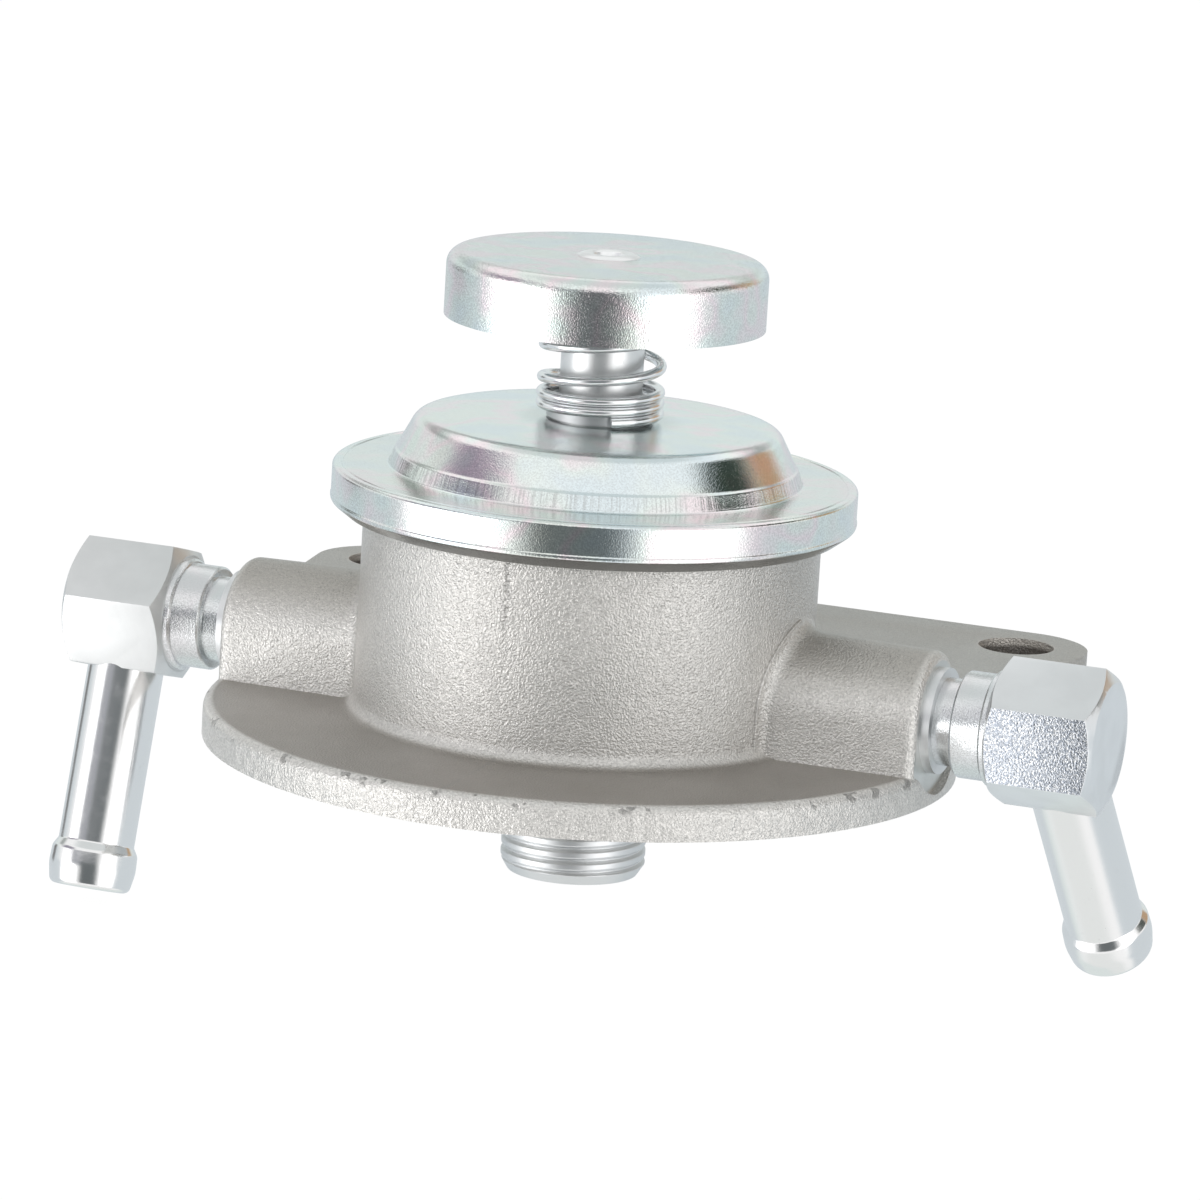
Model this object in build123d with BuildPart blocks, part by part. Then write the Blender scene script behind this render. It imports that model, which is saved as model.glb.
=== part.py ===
from build123d import *
import os
from math import cos, radians, sin, sqrt, tan

# Fuel priming pump: a filter head with a hand-pressed diaphragm pump on top.
# Millimetres. The origin is on the pump axis at the gasket face under the flange.
# +Z runs up the pump axis to the knob, +X along the ports to the outlet, +Y to the ears.

os.makedirs("parts", exist_ok=True)

# Clearances
running_clearance = 0.05    # radial, rod in its bush and seal
seat_clearance = 0.03       # radial, pieces pressed or screwed into another
crimp_clearance = 0.05      # radial, cover round the casting's rim
spring_clearance = 0.3      # spring ends from what they press on, plate from bush

# Cast body
flange_radius = 49.5
flange_thickness = 4.5
flange_edge_round = 1.2
body_radius = 29.9
body_foot_fillet = 2.0
rim_overhang = 3.3
rim_bottom = 31.6
rim_top = 34.6
rim_chamfer = 0.3
chamber_radius = 26.0
chamber_floor = 22.5

# Ports and their bosses, one on each side along X
port_height = 10.5
boss_end = 48.5
boss_radius = 9.9
boss_draft = 1.2
boss_end_round = 1.4
spot_face_radius = 9.6
port_bore_radius = 4.0
port_thread_radius = 4.9
port_thread_depth = 11.0

# Plate behind the barrel with the two ears
ear_spacing = 92.0
ear_distance = 42.5
ear_radius = 9.6
ear_bottom = 3.5
ear_top = 12.0
ear_hole_radius = 5.1

# Underside of the flange
recess_inner_radius = 11.0
recess_outer_radius = 28.0
recess_depth = 1.5

# Filter stud
stud_radius = 9.525
stud_reach = 16.3
stud_end_chamfer = 0.9
stud_relief = 0.6
stud_relief_length = 1.2
stud_bore_radius = 5.2
stud_socket_depth = 6.4
stud_passage_radius = 4.0

# Pressed cover, a steel sheet rolled under the casting's rim
cover_sheet = 1.0
cover_lip_overlap = 2.25
cover_rim_bend = 1.3
cover_lip_bend = 0.7
skirt_foot_radius = 26.9
skirt_foot_bend = 0.5
skirt_band_height = 2.2
skirt_band_run = 0.5
dome_radius = 23.4
dome_top = 43.7
dome_bend = 1.8

# Diaphragm and its plates
diaphragm_thickness = 1.2
diaphragm_lift = 3.6
diaphragm_inner_radius = 19.6
diaphragm_outer_radius = 25.4
diaphragm_bend = 1.0
plate_radius = 17.0
plate_lip_run = 1.5
plate_lip_rise = 0.9
plate_sheet = 1.0
plate_bend = 0.6

# Plunger rod
rod_radius = 5.4
rod_stem_radius = 4.0
rod_head_radius = 5.2
rod_head_height = 1.8
rod_head_bend = 0.9
rod_washer_radius = 8.5
rod_washer_thickness = 1.2
stake_radius = 4.6
stake_height = 0.4
stake_dimple_radius = 1.8
stake_dimple_depth = 0.7
stake_slope = 30.0

# Press knob, a pressed cup staked on the rod
knob_radius = 20.9
knob_bottom = 56.9
knob_top = 65.4
knob_sheet = 1.2
knob_bend = 1.9

# Bush for the rod, with a dust seal in its flange
bush_sleeve_radius = 6.3
bush_sleeve_top = 46.2
bush_flange_radius = 9.5
bush_flange_thickness = 1.4
seal_radius = 7.8
seal_thickness = 0.8

# Knob spring, wound close at its foot and its head
spring_wire = 1.35
spring_mean_radius = 7.7
spring_closed_pitch = 1.46
spring_foot_turns = 2
spring_free_turns = 4
spring_head_turns = 1
spring_cut_angle = -65.0

# Check valves, two alike, one of them upside down
valve_radius = 6.5
valve_height = 6.5
valve_seat_thickness = 1.6
valve_seat_bore = 3.0
valve_lip_width = 0.7
valve_lip_height = 0.4
valve_disc_radius = 5.0
valve_disc_thickness = 1.0
valve_cage_wall = 0.9
valve_cage_sheet = 0.8
valve_cage_hole_radius = 0.9
valve_cage_hole_circle = 4.2
valve_cage_hole_count = 6
valve_spring_wire = 0.4
valve_spring_radius = 2.3
valve_spring_turns = 3
valve_spring_gap = 0.1
valve_cage_stub = 0.6
valve_throat_radius = 3.4
inlet_valve_place = (-13.5, 0.0)
outlet_valve_place = (6.0, -13.2)

# Elbow fittings
washer_radius = 6.9
washer_thickness = 1.2
nose_length = 9.5
neck_radius = 5.7
neck_length = 2.6
collar_radius = 6.95
collar_length = 4.0
collar_edge = 0.3
shoulder_radius = 7.5
shoulder_length = 0.9
hex_flats = 17.0
hex_length = 14.5
hex_end_radius = 7.9
hex_chamfer_angle = 30.0
elbow_bore_radius = 3.2
pipe_from_hex_end = 7.3

# Hose pipes, whose turns about the port axis count from straight down
pipe_radius = 5.1
pipe_bore_radius = 3.7
pipe_socket_depth = 4.0
pipe_bead_start = 32.2
pipe_bead_radius = 5.85
pipe_bead_length = 6.0
pipe_bead_shoulder = 0.6
pipe_end_radius = 2.0
inlet_turn_angle = 15.0
outlet_turn_angle = 32.0
inlet_lean_angle = 1.0
outlet_lean_angle = 6.5

# How near an edge lies to the surface that it is picked by
selection_tolerance = 0.001

# Heights and places worked out from the sizes above
rim_radius = body_radius + rim_overhang
cover_outer_radius = rim_radius + crimp_clearance + cover_sheet
cover_lip_radius = rim_radius + crimp_clearance - cover_lip_overlap
annulus_top = rim_top + diaphragm_thickness + cover_sheet
lip_bottom = rim_bottom - cover_sheet
dome_inside = dome_top - cover_sheet
diaphragm_bottom = rim_top + diaphragm_lift
diaphragm_top = diaphragm_bottom + diaphragm_thickness
rod_shoulder = diaphragm_top + plate_sheet
rod_washer_top = diaphragm_bottom - plate_sheet
rod_head_top = rod_washer_top - rod_washer_thickness
knob_seat = knob_top - knob_sheet
spring_foot = dome_top + spring_clearance
spring_head = knob_seat - spring_clearance
valve_floor = chamber_floor - valve_height
hex_start = boss_end + washer_thickness + neck_length + collar_length + shoulder_length
hex_end = hex_start + hex_length
pipe_place = hex_end - pipe_from_hex_end

# Planes that look out along each port
inlet_side = Plane(origin=(0, 0, 0), x_dir=(0, -1, 0), z_dir=(-1, 0, 0))
outlet_side = Plane(origin=(0, 0, 0), x_dir=(0, 1, 0), z_dir=(1, 0, 0))


def on_barrel(edge):
    """True where an edge runs along the outside of the pump barrel, below its rim."""
    points = [edge @ share for share in (0.0, 0.25, 0.5, 0.75, 1.0)]
    misses = [abs(sqrt(point.X**2 + point.Y**2) - body_radius) for point in points]
    highest = edge.bounding_box().max.Z
    return max(misses) < selection_tolerance and highest < rim_bottom - flange_thickness


# Cast body

with BuildPart() as pump_body:
    # Round flange
    with BuildSketch(Plane.XY):
        Circle(flange_radius)
    extrude(amount=flange_thickness)
    fillet(pump_body.edges().group_by(Axis.Z)[-1], flange_edge_round)

    # Port bosses with a round back and straight sides down to the flange
    for side in (inlet_side, outlet_side):
        with BuildPart(mode=Mode.PRIVATE) as boss:
            with BuildSketch(side):
                with Locations((0, port_height)):
                    Circle(boss_radius)
                    Rectangle(2 * boss_radius, port_height, align=(Align.CENTER, Align.MAX))
            extrude(amount=boss_end, taper=boss_draft)
            end_face = boss.faces().sort_by(Axis((0, 0, 0), side.z_dir))[-1]
            fillet(end_face.edges(), boss_end_round)
        add(boss.part)

    # Pump barrel
    with BuildSketch(Plane.XY):
        Circle(body_radius)
    extrude(amount=rim_bottom)
    fillet(pump_body.edges().filter_by(on_barrel), body_foot_fillet)

    # Plate behind the barrel, out to both ears
    with BuildSketch(Plane.XY.offset(ear_bottom)):
        with BuildSketch(Plane.XY.offset(ear_bottom), mode=Mode.PRIVATE) as ear_ends:
            with GridLocations(ear_spacing, 0, 2, 1):
                with Locations((0, ear_distance)):
                    Circle(ear_radius)
            Circle(flange_radius)
        make_hull(ear_ends.edges())
        Rectangle(
            2 * (ear_spacing + flange_radius),
            2 * flange_radius,
            align=(Align.CENTER, Align.MAX),
            mode=Mode.SUBTRACT,
        )
    extrude(amount=ear_top - ear_bottom)

    # Clamping rim for the cover
    with BuildSketch(Plane.XY.offset(rim_bottom)):
        Circle(rim_radius)
    extrude(amount=rim_top - rim_bottom)
    rim_edges = pump_body.edges().filter_by(GeomType.CIRCLE)
    chamfer([edge for edge in rim_edges if edge.radius == rim_radius], rim_chamfer)

    # Faced ends of the bosses
    for side in (inlet_side, outlet_side):
        with BuildSketch(side.offset(boss_end)):
            with Locations((0, port_height)):
                Circle(spot_face_radius)
        extrude(amount=ear_radius, mode=Mode.SUBTRACT)

    # Pump chamber
    with BuildSketch(Plane.XY.offset(chamber_floor)):
        Circle(chamber_radius)
    extrude(amount=rim_top - chamber_floor, mode=Mode.SUBTRACT)

    # Pockets for the two check valves, and their throats
    for place, depth in (
        (inlet_valve_place, valve_floor - port_height),
        (outlet_valve_place, valve_floor),
    ):
        with BuildSketch(Plane.XY.offset(valve_floor)):
            with Locations(place):
                Circle(valve_radius + seat_clearance)
        extrude(amount=valve_height, mode=Mode.SUBTRACT)
        with BuildSketch(Plane.XY.offset(valve_floor)):
            with Locations(place):
                Circle(valve_throat_radius)
        extrude(amount=-depth, mode=Mode.SUBTRACT)

    # Port bores, with the wider screwed ends
    for side, inner_end in (
        (inlet_side, -inlet_valve_place[0]),
        (outlet_side, 0),
    ):
        with BuildSketch(side.offset(inner_end)):
            with Locations((0, port_height)):
                Circle(port_bore_radius)
        extrude(amount=boss_end - inner_end, mode=Mode.SUBTRACT)
        with BuildSketch(side.offset(boss_end - port_thread_depth)):
            with Locations((0, port_height)):
                Circle(port_thread_radius)
        extrude(amount=port_thread_depth, mode=Mode.SUBTRACT)

    # Recess under the flange, the stud's socket and its passage to the outlet
    with BuildSketch(Plane.XY):
        Circle(recess_outer_radius)
        Circle(recess_inner_radius, mode=Mode.SUBTRACT)
    extrude(amount=recess_depth, mode=Mode.SUBTRACT)
    with BuildSketch(Plane.XY):
        Circle(stud_radius + seat_clearance)
    extrude(amount=stud_socket_depth, mode=Mode.SUBTRACT)
    with BuildSketch(Plane.XY):
        Circle(stud_passage_radius)
    extrude(amount=port_height, mode=Mode.SUBTRACT)

    # Fixing holes
    with BuildSketch(Plane.XY.offset(ear_bottom)):
        with Locations((-ear_spacing / 2, ear_distance), (ear_spacing / 2, ear_distance)):
            Circle(ear_hole_radius)
    extrude(amount=ear_top - ear_bottom, mode=Mode.SUBTRACT)

pump_body.part.label = "pump_body"
export_step(pump_body.part, "parts/pump_body.step")


# Filter stud, hollow, screwed into the body from below

with BuildPart() as filter_stud:
    with BuildSketch(Plane.XY.offset(-stud_reach)):
        Circle(stud_radius)
    extrude(amount=stud_reach + stud_socket_depth)
    stud_end = filter_stud.edges().group_by(Axis.Z)[0]
    chamfer(stud_end, stud_end_chamfer)
    with BuildSketch(Plane.XY):
        Circle(stud_radius)
        Circle(stud_radius - stud_relief, mode=Mode.SUBTRACT)
    extrude(amount=stud_relief_length, mode=Mode.SUBTRACT)
    with BuildSketch(Plane.XY.offset(-stud_reach)):
        Circle(stud_bore_radius)
    extrude(amount=stud_reach + stud_socket_depth, mode=Mode.SUBTRACT)

filter_stud.part.label = "filter_stud"
export_step(filter_stud.part, "parts/filter_stud.step")


# Pressed cover

cover_path_drop = cover_sheet / 2
cover_path = [
    (bush_sleeve_radius + seat_clearance, dome_top - cover_path_drop),
    (dome_radius, dome_top - cover_path_drop),
    (skirt_foot_radius - skirt_band_run - cover_path_drop, annulus_top + skirt_band_height),
    (skirt_foot_radius - cover_path_drop, annulus_top - cover_path_drop),
    (cover_outer_radius - cover_path_drop, annulus_top - cover_path_drop),
    (cover_outer_radius - cover_path_drop, lip_bottom + cover_path_drop),
    (cover_lip_radius, lip_bottom + cover_path_drop),
]
cover_bends = [dome_bend, dome_bend, skirt_foot_bend, cover_rim_bend, cover_lip_bend]

with BuildPart() as top_cover:
    with BuildSketch(Plane.XZ):
        with BuildLine():
            FilletPolyline(*cover_path, radius=cover_bends)
        trace(line_width=cover_sheet)
    revolve(axis=Axis.Z)

top_cover.part.label = "top_cover"
export_step(top_cover.part, "parts/top_cover.step")


# Bush for the rod, from below through the cover's hole

with BuildPart() as rod_bush:
    with BuildSketch(Plane.XY.offset(dome_inside - bush_flange_thickness)):
        Circle(bush_flange_radius)
    extrude(amount=bush_flange_thickness)
    with BuildSketch(Plane.XY.offset(dome_inside)):
        Circle(bush_sleeve_radius)
    extrude(amount=bush_sleeve_top - dome_inside)
    with BuildSketch(Plane.XY.offset(dome_inside - bush_flange_thickness)):
        Circle(rod_radius + running_clearance)
    extrude(amount=bush_sleeve_top - dome_inside + bush_flange_thickness, mode=Mode.SUBTRACT)
    with BuildSketch(Plane.XY.offset(dome_inside - bush_flange_thickness)):
        Circle(seal_radius + seat_clearance)
    extrude(amount=seal_thickness, mode=Mode.SUBTRACT)

rod_bush.part.label = "rod_bush"
export_step(rod_bush.part, "parts/rod_bush.step")


# Dust seal in the bush

with BuildPart() as dust_seal:
    with BuildSketch(Plane.XY.offset(dome_inside - bush_flange_thickness)):
        Circle(seal_radius)
        Circle(rod_radius + running_clearance, mode=Mode.SUBTRACT)
    extrude(amount=seal_thickness)

dust_seal.part.label = "dust_seal"
export_step(dust_seal.part, "parts/dust_seal.step")


# Diaphragm, clamped round its edge and between its plates

diaphragm_half = diaphragm_thickness / 2
diaphragm_path = [
    (rod_stem_radius + seat_clearance, diaphragm_bottom + diaphragm_half),
    (diaphragm_inner_radius, diaphragm_bottom + diaphragm_half),
    (diaphragm_outer_radius, rim_top + diaphragm_half),
    (rim_radius - cover_rim_bend, rim_top + diaphragm_half),
]

with BuildPart() as diaphragm:
    with BuildSketch(Plane.XZ):
        with BuildLine():
            FilletPolyline(*diaphragm_path, radius=diaphragm_bend)
        trace(line_width=diaphragm_thickness)
    revolve(axis=Axis.Z)

diaphragm.part.label = "diaphragm"
export_step(diaphragm.part, "parts/diaphragm.step")


# Plates above and below the diaphragm, their lips turned away from it

plate_half = plate_sheet / 2
for plate_name, plate_level, lip_turn in (
    ("upper_diaphragm_plate", diaphragm_top + plate_half, 1),
    ("lower_diaphragm_plate", diaphragm_bottom - plate_half, -1),
):
    plate_path = [
        (rod_stem_radius + seat_clearance, plate_level),
        (plate_radius, plate_level),
        (plate_radius + plate_lip_run, plate_level + lip_turn * plate_lip_rise),
    ]
    with BuildPart() as diaphragm_plate:
        with BuildSketch(Plane.XZ):
            with BuildLine():
                FilletPolyline(*plate_path, radius=plate_bend)
            trace(line_width=plate_sheet)
        revolve(axis=Axis.Z)
    diaphragm_plate.part.label = plate_name
    export_step(diaphragm_plate.part, f"parts/{plate_name}.step")


# Washer under the lower plate

with BuildPart() as rod_washer:
    with BuildSketch(Plane.XY.offset(rod_head_top)):
        Circle(rod_washer_radius)
        Circle(rod_stem_radius + seat_clearance, mode=Mode.SUBTRACT)
    extrude(amount=rod_washer_thickness)

rod_washer.part.label = "rod_washer"
export_step(rod_washer.part, "parts/rod_washer.step")


# Plunger rod, riveted over the washer below and staked over the knob above

with BuildPart() as plunger_rod:
    with BuildSketch(Plane.XY.offset(rod_head_top - rod_head_height)):
        Circle(rod_head_radius)
    extrude(amount=rod_head_height)
    fillet(plunger_rod.edges().group_by(Axis.Z)[0], rod_head_bend)
    with BuildSketch(Plane.XY.offset(rod_head_top)):
        Circle(rod_stem_radius)
    extrude(amount=knob_top - rod_head_top)
    with BuildSketch(Plane.XY.offset(rod_shoulder)):
        Circle(rod_radius)
    extrude(amount=knob_seat - rod_shoulder)
    with BuildSketch(Plane.XY.offset(knob_top)):
        Circle(stake_radius)
    extrude(amount=stake_height, taper=stake_slope)
    with BuildSketch(Plane.XY.offset(knob_top + stake_height)):
        Circle(stake_dimple_radius)
    extrude(amount=-stake_dimple_depth, taper=stake_slope, mode=Mode.SUBTRACT)

plunger_rod.part.label = "plunger_rod"
export_step(plunger_rod.part, "parts/plunger_rod.step")


# Press knob

knob_half = knob_sheet / 2
knob_path = [
    (rod_stem_radius + seat_clearance, knob_top - knob_half),
    (knob_radius - knob_half, knob_top - knob_half),
    (knob_radius - knob_half, knob_bottom),
]

with BuildPart() as press_knob:
    with BuildSketch(Plane.XZ):
        with BuildLine():
            FilletPolyline(*knob_path, radius=knob_bend - knob_half)
        trace(line_width=knob_sheet)
    revolve(axis=Axis.Z)

press_knob.part.label = "press_knob"
export_step(press_knob.part, "parts/press_knob.step")


# Knob spring: close coils at its foot, open coils, one close coil at its head

spring_height = spring_head - spring_foot - spring_wire
spring_foot_height = spring_foot_turns * spring_closed_pitch
spring_head_height = spring_head_turns * spring_closed_pitch
spring_free_height = spring_height - spring_foot_height - spring_head_height
spring_start = spring_foot + spring_wire / 2

with BuildPart() as knob_spring:
    with BuildLine() as spring_line:
        Helix(
            pitch=spring_closed_pitch,
            height=spring_foot_height,
            radius=spring_mean_radius,
            center=(0, 0, spring_start),
        )
        Helix(
            pitch=spring_free_height / spring_free_turns,
            height=spring_free_height,
            radius=spring_mean_radius,
            center=(0, 0, spring_start + spring_foot_height),
        )
        Helix(
            pitch=spring_closed_pitch,
            height=spring_head_height,
            radius=spring_mean_radius,
            center=(0, 0, spring_start + spring_foot_height + spring_free_height),
        )
    spring_path = spring_line.wires()[0]
    with BuildSketch(Plane(origin=spring_path @ 0, z_dir=spring_path % 0)):
        Circle(spring_wire / 2)
    sweep(path=spring_path, is_frenet=True)

knob_spring.part.label = "knob_spring"
export_step(knob_spring.part.rotate(Axis.Z, spring_cut_angle), "parts/knob_spring.step")


# Check valves: a seat, a disc, a spring and a cage, pressed into the chamber floor

disc_level = valve_seat_thickness + valve_lip_height
cage_roof = valve_height - valve_cage_sheet
valve_spring_start = disc_level + valve_disc_thickness + valve_spring_gap + valve_spring_wire / 2
valve_spring_height = cage_roof - valve_spring_gap - valve_spring_wire / 2 - valve_spring_start


def build_valve(port, base):
    """Build one check valve whose seat stands on the plane base, named after its port."""
    # Seat with a raised lip
    with BuildPart() as seat:
        with BuildSketch(base):
            Circle(valve_radius)
            Circle(valve_seat_bore, mode=Mode.SUBTRACT)
        extrude(amount=valve_seat_thickness)
        with BuildSketch(base.offset(valve_seat_thickness)):
            Circle(valve_seat_bore + valve_lip_width)
            Circle(valve_seat_bore, mode=Mode.SUBTRACT)
        extrude(amount=valve_lip_height)
    seat.part.label = f"{port}_valve_seat"
    export_step(seat.part, f"parts/{port}_valve_seat.step")

    # Disc that rests on the lip
    with BuildPart() as disc:
        with BuildSketch(base.offset(disc_level)):
            Circle(valve_disc_radius)
        extrude(amount=valve_disc_thickness)
    disc.part.label = f"{port}_valve_disc"
    export_step(disc.part, f"parts/{port}_valve_disc.step")

    # Cage with flow holes in its roof and a stub that centres the spring
    with BuildPart() as cage:
        with BuildSketch(base.offset(valve_seat_thickness)):
            Circle(valve_radius)
            Circle(valve_radius - valve_cage_wall, mode=Mode.SUBTRACT)
        extrude(amount=valve_height - valve_seat_thickness)
        with BuildSketch(base.offset(cage_roof)):
            Circle(valve_radius)
            with PolarLocations(valve_cage_hole_circle, valve_cage_hole_count):
                Circle(valve_cage_hole_radius, mode=Mode.SUBTRACT)
        extrude(amount=valve_cage_sheet)
        with BuildSketch(base.offset(cage_roof)):
            Circle(valve_spring_radius - valve_spring_wire / 2 - valve_spring_gap)
        extrude(amount=-valve_cage_stub)
    cage.part.label = f"{port}_valve_cage"
    export_step(cage.part, f"parts/{port}_valve_cage.step")

    # Spring between the disc and the cage's roof
    with BuildPart() as spring:
        with BuildLine() as coil:
            Helix(
                pitch=valve_spring_height / valve_spring_turns,
                height=valve_spring_height,
                radius=valve_spring_radius,
                center=base.offset(valve_spring_start).origin,
                direction=base.z_dir,
            )
        with BuildSketch(Plane(origin=coil.line @ 0, z_dir=coil.line % 0)):
            Circle(valve_spring_wire / 2)
        sweep(path=coil.wires()[0], is_frenet=True)
    spring.part.label = f"{port}_valve_spring"
    export_step(spring.part, f"parts/{port}_valve_spring.step")


build_valve("inlet", Plane(origin=(*inlet_valve_place, valve_floor), z_dir=(0, 0, 1)))
build_valve("outlet", Plane(origin=(*outlet_valve_place, chamber_floor), z_dir=(0, 0, -1)))


# Elbows: a nose screwed into the port, a collar, a hexagon and a hose pipe out of one flat

nose_radius = port_thread_radius - seat_clearance
pipe_socket_floor = hex_flats / 2 - pipe_socket_depth
hex_corner_radius = hex_flats / sqrt(3)
hex_chamfer_length = (hex_corner_radius - hex_end_radius) * tan(radians(hex_chamfer_angle))


def build_elbow(port, side, turn_angle, lean_angle):
    """Build the washer, elbow and hose pipe of one port, on the plane side that faces out."""
    axis_point = side.origin + side.y_dir * port_height
    port_axis = Axis(axis_point, side.z_dir)
    section = Plane(origin=axis_point, x_dir=side.z_dir, z_dir=side.x_dir * -1)
    turn = radians(turn_angle - 90)
    lean = radians(lean_angle)
    pipe_across = side.x_dir * cos(turn) + side.y_dir * sin(turn)
    pipe_way = pipe_across * cos(lean) + side.z_dir * sin(lean)
    pipe_plane = Plane(origin=axis_point + side.z_dir * pipe_place, z_dir=pipe_way)

    # Sealing washer on the boss's faced end
    with BuildPart() as washer:
        with BuildSketch(side.offset(boss_end)):
            with Locations((0, port_height)):
                Circle(washer_radius)
                Circle(nose_radius + seat_clearance, mode=Mode.SUBTRACT)
        extrude(amount=washer_thickness)
    washer.part.label = f"{port}_washer"
    export_step(washer.part, f"parts/{port}_washer.step")

    # Elbow block
    with BuildPart() as elbow:
        with BuildSketch(side.offset(hex_start)):
            with Locations((0, port_height)):
                RegularPolygon(hex_flats / 2, 6, major_radius=False, rotation=turn_angle)
        extrude(amount=hex_length)
        with BuildSketch(section):
            with BuildLine():
                Polyline(
                    (hex_start, 0),
                    (hex_start, hex_end_radius),
                    (hex_start + hex_chamfer_length, hex_corner_radius),
                    (hex_end - hex_chamfer_length, hex_corner_radius),
                    (hex_end, hex_end_radius),
                    (hex_end, 0),
                    close=True,
                )
            make_face()
        revolve(axis=port_axis, mode=Mode.INTERSECT)
        with BuildSketch(section):
            with BuildLine():
                neck_start = boss_end + washer_thickness
                collar_start = neck_start + neck_length
                collar_end = collar_start + collar_length
                Polyline(
                    (boss_end - nose_length, 0),
                    (boss_end - nose_length, nose_radius - collar_edge),
                    (boss_end - nose_length + collar_edge, nose_radius),
                    (neck_start, nose_radius),
                    (neck_start, neck_radius),
                    (collar_start, neck_radius),
                    (collar_start, collar_radius - collar_edge),
                    (collar_start + collar_edge, collar_radius),
                    (collar_end, collar_radius),
                    (collar_end, shoulder_radius - collar_edge),
                    (collar_end + collar_edge, shoulder_radius),
                    (hex_start, shoulder_radius),
                    (hex_start, 0),
                    close=True,
                )
            make_face()
        revolve(axis=port_axis)
        with BuildSketch(side.offset(boss_end - nose_length)):
            with Locations((0, port_height)):
                Circle(elbow_bore_radius)
        extrude(amount=pipe_place - boss_end + nose_length, mode=Mode.SUBTRACT)
        with BuildSketch(pipe_plane):
            Circle(elbow_bore_radius)
        extrude(amount=pipe_socket_floor, mode=Mode.SUBTRACT)
        with BuildSketch(pipe_plane.offset(pipe_socket_floor)):
            Circle(pipe_radius + seat_clearance)
        extrude(amount=hex_corner_radius, mode=Mode.SUBTRACT)
    elbow.part.label = f"{port}_elbow"
    export_step(elbow.part, f"parts/{port}_elbow.step")

    # Hose pipe with its bead
    with BuildPart() as pipe:
        with BuildSketch(pipe_plane.offset(pipe_socket_floor)):
            Circle(pipe_radius)
        extrude(amount=pipe_bead_start - pipe_socket_floor)
        with BuildSketch(pipe_plane.offset(pipe_bead_start)):
            Circle(pipe_bead_radius)
        extrude(amount=pipe_bead_length)
        pipe_rings = pipe.edges().filter_by(GeomType.CIRCLE).sort_by(Axis(pipe_plane.origin, pipe_way))
        fillet(pipe_rings[-1], pipe_end_radius)
        bead_rings = [ring for ring in pipe_rings if ring.radius > pipe_radius][0]
        fillet(bead_rings, pipe_bead_shoulder)
        with BuildSketch(pipe_plane.offset(pipe_socket_floor)):
            Circle(pipe_bore_radius)
        extrude(amount=pipe_bead_start + pipe_bead_length - pipe_socket_floor, mode=Mode.SUBTRACT)
    pipe.part.label = f"{port}_hose_pipe"
    export_step(pipe.part, f"parts/{port}_hose_pipe.step")


build_elbow("inlet", inlet_side, inlet_turn_angle, inlet_lean_angle)
build_elbow("outlet", outlet_side, outlet_turn_angle, outlet_lean_angle)
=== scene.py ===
"""Fuel priming pump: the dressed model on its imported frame, with camera and light."""

import logging
import math
from dataclasses import dataclass
from enum import Enum
from typing import Sequence

import bmesh
import bpy
from mathutils import Matrix, Vector


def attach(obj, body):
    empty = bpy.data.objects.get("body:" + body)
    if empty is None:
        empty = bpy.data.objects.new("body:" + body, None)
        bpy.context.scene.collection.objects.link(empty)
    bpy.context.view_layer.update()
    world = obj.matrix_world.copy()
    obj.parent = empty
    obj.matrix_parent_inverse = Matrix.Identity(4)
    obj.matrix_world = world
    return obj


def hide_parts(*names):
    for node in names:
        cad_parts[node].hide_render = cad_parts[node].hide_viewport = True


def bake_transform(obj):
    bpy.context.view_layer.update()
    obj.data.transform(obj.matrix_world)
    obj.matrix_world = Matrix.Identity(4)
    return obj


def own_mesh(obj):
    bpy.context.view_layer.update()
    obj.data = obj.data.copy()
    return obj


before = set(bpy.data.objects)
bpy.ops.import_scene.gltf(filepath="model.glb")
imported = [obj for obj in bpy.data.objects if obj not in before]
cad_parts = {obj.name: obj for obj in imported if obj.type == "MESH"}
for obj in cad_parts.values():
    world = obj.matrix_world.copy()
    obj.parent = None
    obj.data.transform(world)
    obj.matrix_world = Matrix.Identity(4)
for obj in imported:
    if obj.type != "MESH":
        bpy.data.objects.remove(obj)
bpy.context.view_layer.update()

LOG = logging.getLogger("priming_pump")
MM = 0.001
FULL_TURN = 2 * math.pi
UP = Vector((0.0, 0.0, 1.0))
WHITE = (1.0, 1.0, 1.0)
Point = tuple[float, float]
Colour = tuple[float, float, float]
Piece = bpy.types.Object
Socket = bpy.types.NodeSocket

# Sizes that several pieces share, in millimetres
PORT_HEIGHT = 10.5
BOSS_END = 48.5
BARREL_RADIUS = 29.9
LIP_BOTTOM = 30.6
STEM_HOLE = 4.05


class Body(Enum):
    """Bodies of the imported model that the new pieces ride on."""

    HOUSING = "housing"
    PLUNGER = "plunger"


class Port(Enum):
    """The two ports, with the way each one faces along X."""

    INLET = -1
    OUTLET = 1

    @property
    def label(self) -> str:
        """Name of the port as the nodes spell it."""
        return self.name.lower()


# Shader and geometry maths


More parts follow.
